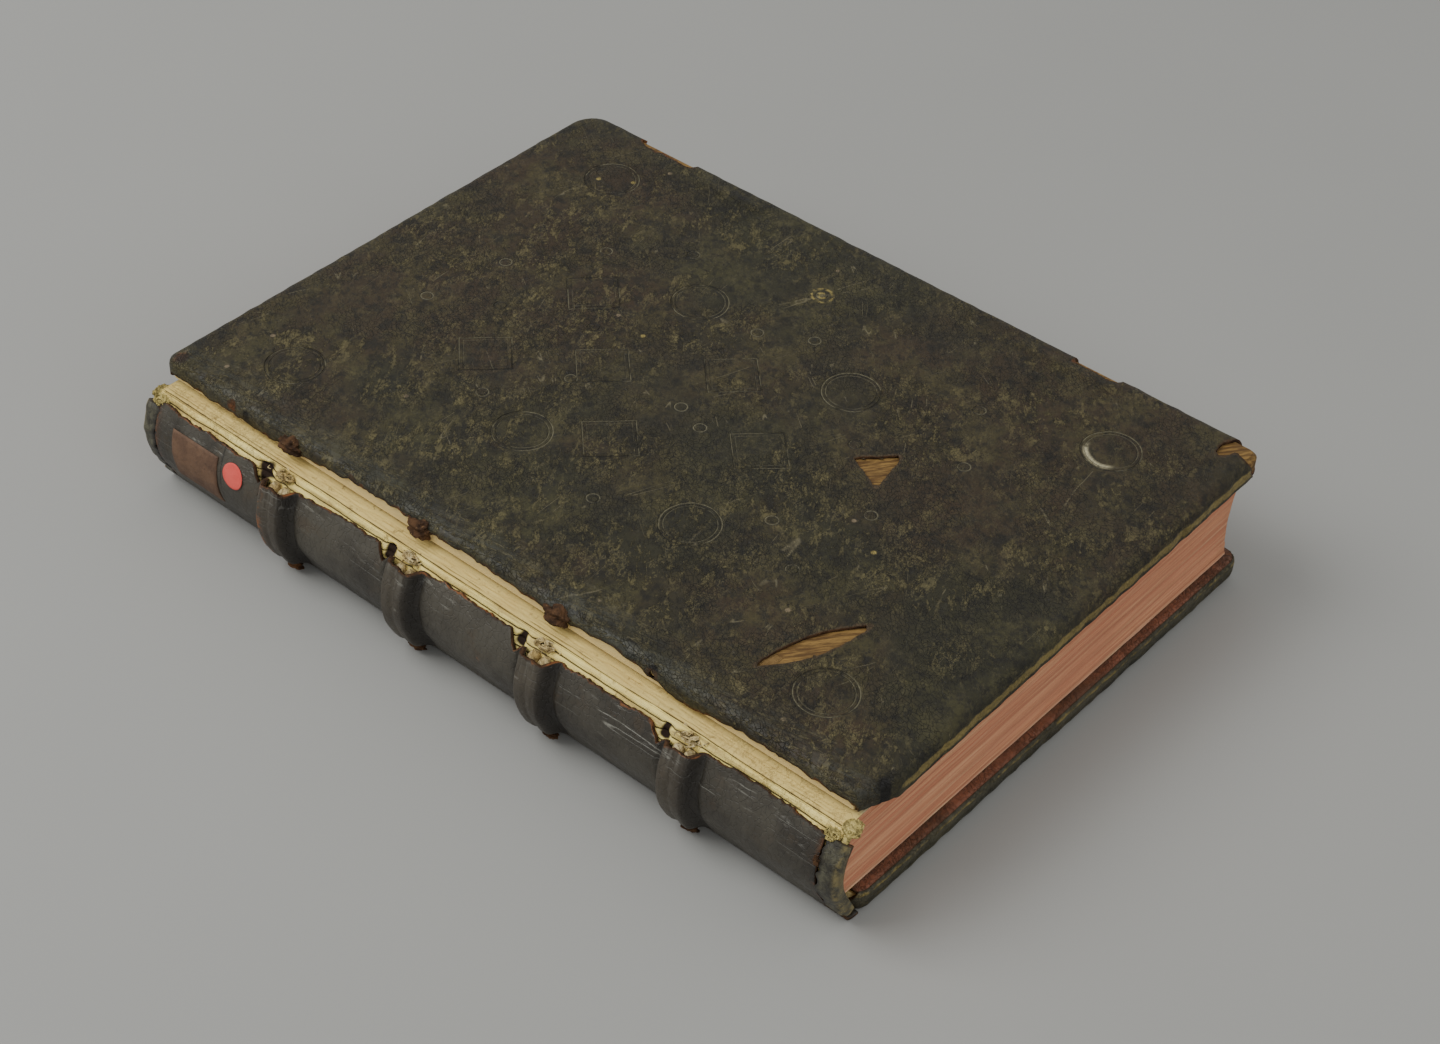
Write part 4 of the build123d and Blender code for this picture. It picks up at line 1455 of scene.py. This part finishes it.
@dataclass
class Spine:
    """The leather over the back with its raised bands, torn along the upper joint."""

    leather_end: float = 146.7
    columns: int = 640
    rows: int = 64
    notch_offset: float = 10.0
    notch_half: float = 4.0
    notch_depth: float = 4.5

    def torn_height(self, place: Array) -> Array:
        """Height of the torn edge: it wanders, and dips into a notch beside each band."""
        height = TEAR_HEIGHT + ragged(place, 1.1)
        from_notch = np.abs(place[..., None] - SUPPORTS - self.notch_offset)
        height -= (self.notch_depth * np.clip(1 - from_notch / self.notch_half, 0, 1)).sum(-1)
        gap = np.abs(place[..., None] - SUPPORTS).min(-1)
        fine = 0.3 * Ripple(61, 15)(place) + 0.16 * Ripple(66, 5)(place)
        fine = fine + 0.16 * Ripple(62, 1.7)(place)
        return np.minimum(height + fine + 0.5 * smooth(gap, 6.5, 3.5), 39.9)

    def section(self, place: Array, share: Array) -> Array:
        """Points of the leather's outer side.

        The path starts at the foot, runs straight and then round the back, at a radius that the
        bands raise. Its end is where the torn edge stands.

        Args:
            place: Places along the book.
            share: Share of the way from the foot to the torn edge.

        Returns:
            The points.
        """
        radius = PANEL_RADIUS + band_height(place) * smooth(share, -0.04, 0.16)
        torn = self.torn_height(place)
        full = PANEL_RADIUS + band_height(place)
        top_angle = 180 - np.degrees(np.arcsin(np.clip((torn - SPINE_Z) / full, -0.99, 0.99)))
        wave = 0.14 * Ripple(63, 30)(place, share * 50) + 0.07 * Ripple(64, 8)(place, share * 50)
        curl = 0.7 * smooth(share, 0.9, 1.0) * (0.5 + 0.5 * Ripple(65, 16)(place))
        x, z = down_the_back(share, top_angle, radius + wave * smooth(share, 0, 0.1) + curl)
        return points_at(x, place, z)

    def build(self) -> None:
        """Makes the spine leather."""
        along = np.linspace(-self.leather_end, self.leather_end, self.columns)[:, None]
        share = np.linspace(0, 1, self.rows) ** 0.8
        points = self.section(along + 0 * share, share + 0 * along)
        gap = np.abs(along[..., None] - SUPPORTS).min(-1)
        # Painted shadow: a wide dark band on the tail-side flank of each raised band, where the
        # band shades the panel.
        valley = 0.95 * np.exp(-(((along[..., None] - SUPPORTS + 6.4) / 2.5) ** 2)).max(-1)
        # Painted shade: a thin dark line along each band's foot.
        flank = np.exp(-(((gap - 7.6) / 0.7) ** 2))
        flecked = np.exp(-(((along - SUPPORTS[3] - 4.4) / 1.4) ** 2))
        # Both ends: rust flecks, and painted shade of the gap where the leather meets the caps.
        ends = np.exp(-(self.leather_end - np.abs(along)) / 0.9)
        to_tear = (1 - share) * SPINE_WAY
        shell = Shell()
        shell.add(
            points,
            grid_faces(*points.shape[:2]),
            torn=np.exp(-to_tear / 1.4),
            flecked=np.maximum(flecked, 0.5 * ends),
            top=np.exp(-to_tear / 9),
            band=smooth(gap, 7.2, 4.5),
            # The crease attribute carries painted shade, laid in the spine's shadow colour.
            crease=np.maximum(np.maximum(valley, flank), ends),
        )
        settle(
            shell,
            "spine_covering",
            ("spine", "torn"),
            Body.BOOK_BLOCK,
            "spine_leather",
            "spine_leather",
            creased=60,
            skin=1.45,
        )


@dataclass
class Joint:
    """The leather of the lower joint, whole, between the spine leather's foot and the back cover.
    """

    spine: Spine
    rows: int = 14
    columns: int = 300

    def build(self) -> None:
        """Makes the strip: a smooth curve from the foot of the spine leather to the back cover.

        The curve is a cubic with its ends on the two leathers and its two middle points outside
        and below.
        """
        reach = BOOK_HEIGHT / 2 - 1.2
        along = np.linspace(-reach, reach, self.columns)[:, None]
        inner = np.clip(along, -self.spine.leather_end, self.spine.leather_end)
        start = self.spine.section(inner, np.full_like(inner, 0.03))[:, 0]
        foot = self.spine.section(inner, np.full_like(inner, 0.0))[:, 0]
        ahead = (foot - start) / np.linalg.norm(foot - start, axis=-1, keepdims=True)
        end = points_at(JOINT_X + 2.4, along[:, 0], 0.42)
        share = np.linspace(0, 1, self.rows)[None, :, None]
        second = foot + ahead * 2.4
        second[:, 2] = np.maximum(second[:, 2], 0.5)
        third = end + np.array((-4.5, 0, 0))
        left = 1 - share
        points = left**3 * start[:, None] + 3 * share * left**2 * second[:, None]
        points += 3 * share**2 * left * third[:, None] + share**3 * end[:, None]
        points[..., 1] = along
        shell = Shell()
        shell.add(points, grid_faces(*points.shape[:2])[:, ::-1])
        piece = shell.make("lower_joint_leather", creased=60)
        dress(piece, "spine", "torn")
        thicken(piece, 0.9)
        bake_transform(piece)
        log.info("%s: %d faces, between two bodies", piece.name, len(piece.data.polygons))


@dataclass
class Cap:
    """The leather over one end of the spine, turned in over its endband."""

    name: str
    node: str
    end: int
    top_angle: float
    height: float = 7.5
    depth: float = 4.6
    margin: float = 0.7
    rows: int = 90

    def line(self) -> Array:
        """Section of the cap, closed: outer wall, round end, turned-in lip and inner wall.

        Returns:
            Distance from the middle of the book and radius of each point, evenly spaced.
        """
        outer, inner = BOOK_HEIGHT / 2 - self.margin, BOOK_HEIGHT / 2 - self.height
        high, low = PANEL_RADIUS, PANEL_RADIUS - 1.5
        corners = [
            (inner, high, 0.4),
            (outer, high, 2.4),
            (outer, high - self.depth, 0.5),
            (outer - 1.3, high - self.depth, 0.5),
            (outer - 1.3, low, 1.2),
            (inner, low, 0.4),
        ]
        closed = rounded(corners[::-1], 6)
        loop = np.concatenate((closed, closed[:1]))
        length = np.concatenate(((0,), np.cumsum(np.hypot(*np.diff(loop, axis=0).T))))
        places = np.linspace(0, length[-1], 64, endpoint=False)
        return np.stack([np.interp(places, length, loop[:, k]) for k in (0, 1)], -1)

    def build(self) -> None:
        """Makes the cap: its section carried down the back."""
        out, radius = self.line().T[:, None]
        share = np.linspace(0, 1, self.rows)[:, None]
        inner_end, outer_end = BOOK_HEIGHT / 2 - self.height, BOOK_HEIGHT / 2 - self.margin
        torn = smooth(out, inner_end + 2, inner_end)
        place = out - torn * (0.5 + 0.7 * Ripple(71 + self.end, 0.12)(share))
        wave = 0.25 * Ripple(73 + self.end, 9)(share * SPINE_WAY, out) * smooth(radius, 20, 24)
        x, z = down_the_back(share, self.top_angle + 0 * share, radius + wave)
        points = points_at(x, self.end * place, np.maximum(z, 0.35))
        lip = smooth(PANEL_RADIUS - radius, 2.2, 3.6) * smooth(out, 152, 153.5)
        edge = 0.3 * torn + np.exp(-(1 - share) * SPINE_WAY / 1.2)
        edge = edge + 0.9 * lip * smooth(share, 0.5, 0.8)
        worn = np.exp(-(((out - outer_end + 0.6) / 0.8) ** 2)) + 0.8 * smooth(share, 0.16, 0.02)
        shell = Shell()
        shell.add(
            points,
            capped_faces(*points.shape[:2], flipped=self.end < 0),
            torn=0.8 * np.clip(edge, 0, 1),
            # Painted shade: the cap's inner edge is darkened for the gap beside the spine leather.
            crease=smooth(out, inner_end + 1.6, inner_end + 0.3),
            worn=np.clip(worn, 0, 1),
            top=0.1,
            band=0.2,
            cap=1.0,
        )
        looks = ("spine", "torn")
        settle(shell, self.name, looks, Body.BOOK_BLOCK, "spine_leather", self.node, creased=60)


@dataclass
class Endband:
    """A core wound with thread, frayed where the joint is split."""

    name: str
    node: str
    end: int
    knot: tuple[float, float, float]
    knot_size: tuple[float, float, float]
    ceiling: float
    diameter: float = 2.3
    threads: int = 150
    rows: int = 170
    sides: int = 12
    angles: tuple[float, float] = (206.0, 141.0)

    def build(self) -> None:
        """Makes the wound core and the tangle of loose thread at its upper end.

        The core's radius swells over each turn of thread. A loose thread is an arc over the tangle
        that lifts away at one end.
        """
        share = np.linspace(0, 1, self.rows)[:, None]
        turn = round_turn(self.sides)
        angle = self.angles[0] - share * (self.angles[0] - self.angles[1])
        half = self.diameter / 2
        radius = half * (1 + 0.13 * np.abs(np.sin(share * 150 + turn)))
        x, z = spine_place(angle, SPINE_RADIUS - half + radius * np.cos(turn))
        y = self.end * (TEXT_HALF + half + 0.15 + radius * np.sin(turn))
        shell = Shell()
        shell.add(points_at(x, y, z), capped_faces(self.rows, self.sides, flipped=self.end > 0))
        draw = np.random.default_rng(80 + self.end)
        knot, size = np.array(self.knot), np.array(self.knot_size)
        beside = np.array((-107.0, self.end * 147.8, 38.6))
        paths = wound(knot, size, draw, self.threads)
        more = wound(beside, np.array((2.8, 2.6, 1.4)), draw, self.threads // 2)
        paths = np.concatenate((paths, more))
        paths[..., 2] = np.minimum(paths[..., 2], self.ceiling)
        radii = draw.uniform(0.16, 0.36, (len(paths), 1)) * np.ones((1, paths.shape[1]))
        shell.add(*lump(knot, size * 0.7, 85 + self.end, 0.15))
        shell.add(*tubes(paths, radii, 4))
        settle(shell, self.name, ("thread",), Body.BOOK_BLOCK, "endband_thread", self.node)


def wound(middle: Array, size: Array, draw: np.random.Generator, count: int) -> Array:
    """Threads wound loosely over a ball: arcs about its middle, in random planes.

    An arc lifts off the ball at one end, by the cube of its share of the way.

    Args:
        middle: Middle of the ball.
        size: Half sizes of the ball along the axes.
        draw: Source of random numbers.
        count: Number of threads.

    Returns:
        Threads by steps by 3.
    """
    first = draw.normal(0, 1, (count, 1, 3))
    first /= np.linalg.norm(first, axis=-1, keepdims=True)
    other = np.cross(first, draw.normal(0, 1, (count, 1, 3)))
    other /= np.linalg.norm(other, axis=-1, keepdims=True)
    share = np.linspace(0, 1, 13)[None, :, None]
    turn = share * draw.uniform(0.7, 2.4, (count, 1, 1))
    away = draw.uniform(0.8, 1.04, (count, 1, 1))
    away = away + 0.3 * share**3 * draw.uniform(-0.4, 1.0, (count, 1, 1))
    return middle + size * away * (np.cos(turn) * first + np.sin(turn) * other)


def curls(
    start: Array, draw: np.random.Generator, length: float, curl: float, lift: float
) -> Array:
    """Curling paths: a straight run in a random direction, and a circle round it that grows.

    Args:
        start: Where each starts.
        draw: Source of random numbers.
        length: Usual length.
        curl: Radius of the circle at the end.
        lift: How much the run leans upwards.

    Returns:
        Threads by steps by 3.
    """
    count = len(start)
    share = np.linspace(0, 1, 13)[None, :, None]
    way = draw.normal(0, 1, (count, 1, 3)) + np.array((-0.3, 0, lift))
    way /= np.linalg.norm(way, axis=-1, keepdims=True)
    run = way * length * draw.uniform(0.2, 1.0, (count, 1, 1)) ** 2 * share
    turns = draw.uniform(3.5, 9.0, (count, 1, 1)) * share
    turns = turns + draw.uniform(0, FULL_TURN, (count, 1, 1))
    first, second = draw.normal(0, 0.6, (2, count, 1, 3))
    circle = first * (np.cos(turns) - np.cos(turns[:, :1]))
    circle = circle + second * (np.sin(turns) - np.sin(turns[:, :1]))
    return start[:, None] + run + curl * np.sqrt(share) * circle


@dataclass
class Supports:
    """The double cords, twisted, with their torn ends frayed at the joint."""

    diameter: float = 4.5
    fibres: int = 24
    rows: int = 60
    sides: int = 14
    angles: tuple[float, float] = (206.0, 150.0)
    ceiling: float = 40.4
    spread: tuple[float, float, float] = (1.2, 2.2, 0.4)
    knot_size: tuple[float, float, float] = (2.2, 3.6, 1.2)

    def build(self) -> None:
        """Makes the cords and their fibres.

        A cord's radius follows two strands that turn round each other. The fibres start at its
        torn end.
        """
        share = np.linspace(0, 1, self.rows)[:, None]
        turn = round_turn(self.sides)
        circle = SPINE_RADIUS + 0.1 + self.diameter / 2
        angle = self.angles[0] - share * (self.angles[0] - self.angles[1])
        strand = 0.5 * self.diameter * (0.86 + 0.12 * np.abs(np.cos(turn + share * 34)))
        strand = strand * (1 - 0.5 * smooth(share, 0.93, 1.0))
        x, z = spine_place(angle, circle + strand * np.cos(turn) - 1.2 * smooth(share, 0.75, 1))
        top_x, top_z = spine_place(self.angles[1], circle - 0.8)
        faces = capped_faces(self.rows, self.sides, flipped=True)
        shell = Shell()
        draw = np.random.default_rng(90)
        for place in SUPPORTS:
            for side in (-1, 1):
                y = place + side * (self.diameter + 0.1) / 2 + strand * np.sin(turn)
                shell.add(points_at(x, y, z), faces)
            centre = np.array((top_x + 3.0, place + 0.8, top_z + 1.6))
            start = centre + draw.normal(0, 1, (self.fibres, 3)) * self.spread
            loose = curls(start, draw, length=3.0, curl=0.6, lift=0.1)
            knot = wound(centre, np.array(self.knot_size), draw, self.fibres)
            paths = np.concatenate((loose, knot))
            paths[..., 2] = np.minimum(paths[..., 2], self.ceiling)
            radii = draw.uniform(0.16, 0.42, (len(paths), 1)) * np.ones((1, paths.shape[1]))
            shell.add(*tubes(paths, radii, 4))
        body = Body.BOOK_BLOCK
        settle(shell, "sewing_supports", ("cord",), body, "sewing_cord", "sewing_cords")


def lump(middle: Array, size: Array, seed: int, rough: float = 0.16) -> tuple[Array, list[Array]]:
    """An uneven ball: a sphere stretched to a size, its radius pushed by a smooth random field.

    Args:
        middle: Middle of the ball.
        size: Half sizes along the axes.
        seed: Seed of the field.
        rough: Share of the radius by which it varies.

    Returns:
        The points and the faces, with closed poles.
    """
    rows, columns = 26, 40
    tilt = np.linspace(0.04, math.pi - 0.04, rows)[:, None]
    turn = round_turn(columns)
    ball = points_at(np.sin(tilt) * np.cos(turn), np.sin(tilt) * np.sin(turn), np.cos(tilt))
    x, y, z = np.moveaxis(ball, -1, 0)
    bumps = rough * Ripple(seed, 1.6)(x + 2 * z, y - z)
    bumps = bumps + 0.5 * rough * Ripple(seed + 50, 0.7)(x - z, y + 2 * z)
    points = middle + ball * size * (1 + bumps)[..., None]
    return points, capped_faces(rows, columns, flipped=True)


@dataclass
class BandTongues:
    """Brown leather where the bands crossed the joint: stubs on the board's edge, and rests."""

    stub_shifts: tuple[float, ...] = (2.0, 3.5, 4.8)
    stub_size: tuple[float, float, float] = (3.0, 4.8, 3.35)
    rest_shifts: tuple[float, ...] = (1.5, 2.5, 3.5)
    rest_size: tuple[float, float, float] = (1.8, 3.4, 1.2)
    foot_size: tuple[float, float, float] = (1.6, 3.0, 1.1)
    scrap_place: tuple[float, float, float] = (-112.6, -146.6, 30.3)
    scrap_size: tuple[float, float, float] = (0.9, 1.0, 2.0)

    def build(self) -> None:
        """Makes the stubs on the front board and what is left on the block."""
        stubs, rests = Shell(), Shell()
        for k, place in enumerate(SUPPORTS[1:]):
            stub = np.array((JOINT_X + 0.2, place + self.stub_shifts[k], FRONT_INNER + 5.4))
            stubs.add(*lump(stub, np.array(self.stub_size), 101 + k, 0.2))
            rest = np.array((JOINT_X - 2.0, place + self.rest_shifts[k], 38.9))
            rests.add(*lump(rest, np.array(self.rest_size), 111 + k, 0.24))
        scrap = lump(np.array(self.scrap_place), np.array(self.scrap_size), 121, 0.3)
        rests.add(*scrap, torn=1.0)
        for k, place in enumerate(SUPPORTS):
            foot = np.array((-107.6, place - 2.0, 3.0))
            rests.add(*lump(foot, np.array(self.foot_size), 131 + k, 0.3), torn=0.4)
        looks, slot, node = ("knob",), "torn_leather", "band_leather_stubs"
        settle(stubs, "band_stubs", looks, Body.FRONT_COVER, slot, node)
        settle(rests, "band_leather_rests", looks, Body.BOOK_BLOCK, slot)


@dataclass
class Labels:
    """The label and the round sticker on the head panel, both bare."""

    label_y: tuple[float, float] = (115.0, 138.0)
    label_angles: tuple[float, float] = (159.0, 207.0)
    sticker_y: float = 107.0
    sticker_z: float = 30.8
    sticker_radius: float = 4.75

    label_grid: int = 60
    sticker_rings: int = 13
    sticker_sides: int = 56

    def build(self) -> None:
        """Makes both on the curve of the back."""
        self.label()
        self.sticker()

    def label(self) -> None:
        """A thin sheet, raised away from its edges, that follows the panel."""
        low, high = self.label_angles
        along = np.linspace(*self.label_y, self.label_grid)[:, None]
        angle = np.linspace(high, low, self.label_grid)[None]
        from_ends = np.minimum(along - self.label_y[0], self.label_y[1] - along)
        from_sides = np.radians(np.minimum(angle - low, high - angle)) * PANEL_RADIUS
        edge = np.minimum(from_ends, from_sides)
        rise = 0.25 + 0.28 * smooth(edge, 0, 0.8) + 0.06 * Ripple(121, 6)(along, angle * 0.4)
        x, z = spine_place(angle, PANEL_RADIUS + rise)
        shell = Shell()
        shell.add(points_at(x, along, z), grid_faces(self.label_grid, self.label_grid))
        body = Body.BOOK_BLOCK
        settle(shell, "label", ("label",), body, "label_leather", "title_label", skin=0.4)

    def sticker(self) -> None:
        """A disc of rings round a hub, wrapped on the panel."""
        rings, sides = self.sticker_rings, self.sticker_sides
        reach = self.sticker_radius * np.linspace(0, 1, rings + 1)[1:, None]
        turn = round_turn(sides)
        middle = 180 - math.degrees(math.asin((self.sticker_z - SPINE_Z) / PANEL_RADIUS))
        arc = middle + np.degrees(reach * np.sin(turn) / PANEL_RADIUS)
        x, z = spine_place(arc, PANEL_RADIUS + 0.5)
        points = points_at(x, self.sticker_y + reach * np.cos(turn), z).reshape(-1, 3)
        hub = points_at(*spine_place(middle, PANEL_RADIUS + 0.5), self.sticker_y)[[0, 2, 1]]
        faces = grid_faces(rings, sides, round_columns=True)[:, ::-1]
        first = np.arange(sides)
        fan = np.stack((first, (first + 1) % sides, np.full(sides, rings * sides)), -1)
        shell = Shell()
        shell.add(np.concatenate((points, hub[None])), [faces, fan])
        body = Body.BOOK_BLOCK
        settle(shell, "sticker", ("sticker",), body, "sticker_paper", "round_sticker", skin=0.2)


@dataclass
class Studio:
    """Floor, soft lights and the camera at the photograph's angle."""

    eye: tuple[float, float, float] = (-534.9, -432.0, 584.0)
    azimuth: float = -52.05
    elevation: float = 40.06
    roll: float = 3.84
    lens: float = 63.98
    sky: float = 0.55
    floor_half: float = 6000.0
    floor_height: float = -0.1

    def build(self) -> None:
        """Sets them up."""
        camera = bpy.data.objects.new("camera", bpy.data.cameras.new("camera"))
        bpy.context.scene.collection.objects.link(camera)
        a, e, r = (math.radians(t) for t in (self.azimuth, self.elevation, self.roll))
        right = np.array((math.cos(a), math.sin(a), 0))
        back = np.array((math.sin(a) * math.cos(e), -math.cos(a) * math.cos(e), math.sin(e)))
        up = np.cross(back, right)
        tilted = math.cos(r) * right + math.sin(r) * up
        upright = math.cos(r) * up - math.sin(r) * right
        turn = Matrix(np.stack((tilted, upright, back), -1).tolist()).to_4x4()
        camera.matrix_world = Matrix.Translation([c * MM for c in self.eye]) @ turn
        camera.data.lens = self.lens
        camera.data.sensor_width = 36.0
        bpy.context.scene.camera = camera
        self.floor()
        self.light("key", (-0.9, 0.9, 1.5), 1.3, 26.0)
        self.light("fill", (-0.6, -1.4, 1.1), 1.5, 9.0)
        world = bpy.data.worlds.new("world")
        world.use_nodes = True
        sky = world.node_tree.nodes["Background"]
        sky.inputs["Color"].default_value = (1.0, 1.0, 1.0, 1.0)
        sky.inputs["Strength"].default_value = self.sky
        bpy.context.scene.world = world

    def floor(self) -> None:
        """A plain pale floor under the book."""
        shell = Shell()
        side = np.linspace(-self.floor_half, self.floor_half, 3)
        shell.add(points_at(side, side[:, None], self.floor_height), grid_faces(3, 3))
        floor = shell.make("floor")
        recipe = Recipe("floor")
        mottle = recipe.noise(3.0, 3)
        recipe.set("Base Color", recipe.blend(mottle, paint(154, 154, 150), paint(162, 162, 158)))
        recipe.set("Roughness", 0.9)
        floor.data.materials.append(recipe.material)

    def light(
        self, name: str, place: tuple[float, float, float], size: float, power: float
    ) -> None:
        """A square soft light that faces the book.

        Args:
            name: Name of the light.
            place: Where it hangs, in metres.
            size: Side of the square, in metres.
            power: Power in watts.
        """
        data = bpy.data.lights.new(name, "AREA")
        data.size = size
        data.energy = power
        lamp = bpy.data.objects.new(name, data)
        bpy.context.scene.collection.objects.link(lamp)
        back = np.array(place) / np.linalg.norm(place)
        right = np.cross((0, 0, 1), back)
        right /= np.linalg.norm(right)
        up = np.cross(back, right)
        turn = Matrix(np.stack((right, up, back), -1).tolist()).to_4x4()
        lamp.matrix_world = Matrix.Translation(place) @ turn


def dress_cad() -> None:
    """Gives the CAD nodes that stay in view their finishes."""
    parts = {"board": "wood", "pegs": "wood", "slips": "slip", "pastedown": "paste"}
    finishes = {f"{side}_{part}": parts[part] for part in parts for side in ("back", "front")}
    for node, finish in finishes.items():
        dress(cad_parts[node], finish)
        log.info("%s dressed in %s", node, finish)


def main() -> None:
    """Builds the book's looks piece by piece."""
    logging.basicConfig(level=logging.INFO, format="%(message)s")
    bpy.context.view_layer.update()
    Studio().build()
    dress_cad()
    inset = 4.0
    far, top = BOARD_WIDTH - inset, BOOK_HEIGHT - inset
    FrontCover(
        name="front_cover_leather",
        body=Body.FRONT_COVER,
        node="front_leather",
        finish="cover",
        corners=[
            (inset, 8.7, 0.3),
            (15.8, inset, 0.3),
            (far, inset, 1.0),
            (far, top, 8.0),
            (inset, top, 1.5),
        ],
        front=True,
        worn_at=7.4,
        worn_width=3.2,
        losses=front_losses(),
    ).build()
    Cover(
        name="back_cover_leather",
        body=Body.BACK_COVER,
        node="back_leather",
        finish="back",
        corners=[(inset, inset, 2.5), (far, inset, 2.5), (far, top, 2.5), (inset, top, 2.5)],
        front=False,
        step=1.9,
        worn_at=10.6,
        worn_share=0.88,
    ).build()
    Pages().build()
    spine = Spine()
    spine.build()
    Joint(spine).build()
    Cap("head_cap_leather", "head_cap", 1, 150.0).build()
    Cap("tail_cap_leather", "tail_cap", -1, 147.0).build()
    head_knot, tail_knot = (-104.4, 151.6, 38.9), (-102.8, -151.1, 39.6)
    Endband("head_endband_thread", "head_endband", 1, head_knot, (3.2, 2.4, 1.4), 40.3).build()
    Endband("tail_endband_thread", "tail_endband", -1, tail_knot, (3.5, 2.8, 1.9), 40.8).build()
    Supports().build()
    BandTongues().build()
    Labels().build()


if __name__ == "__main__":
    main()
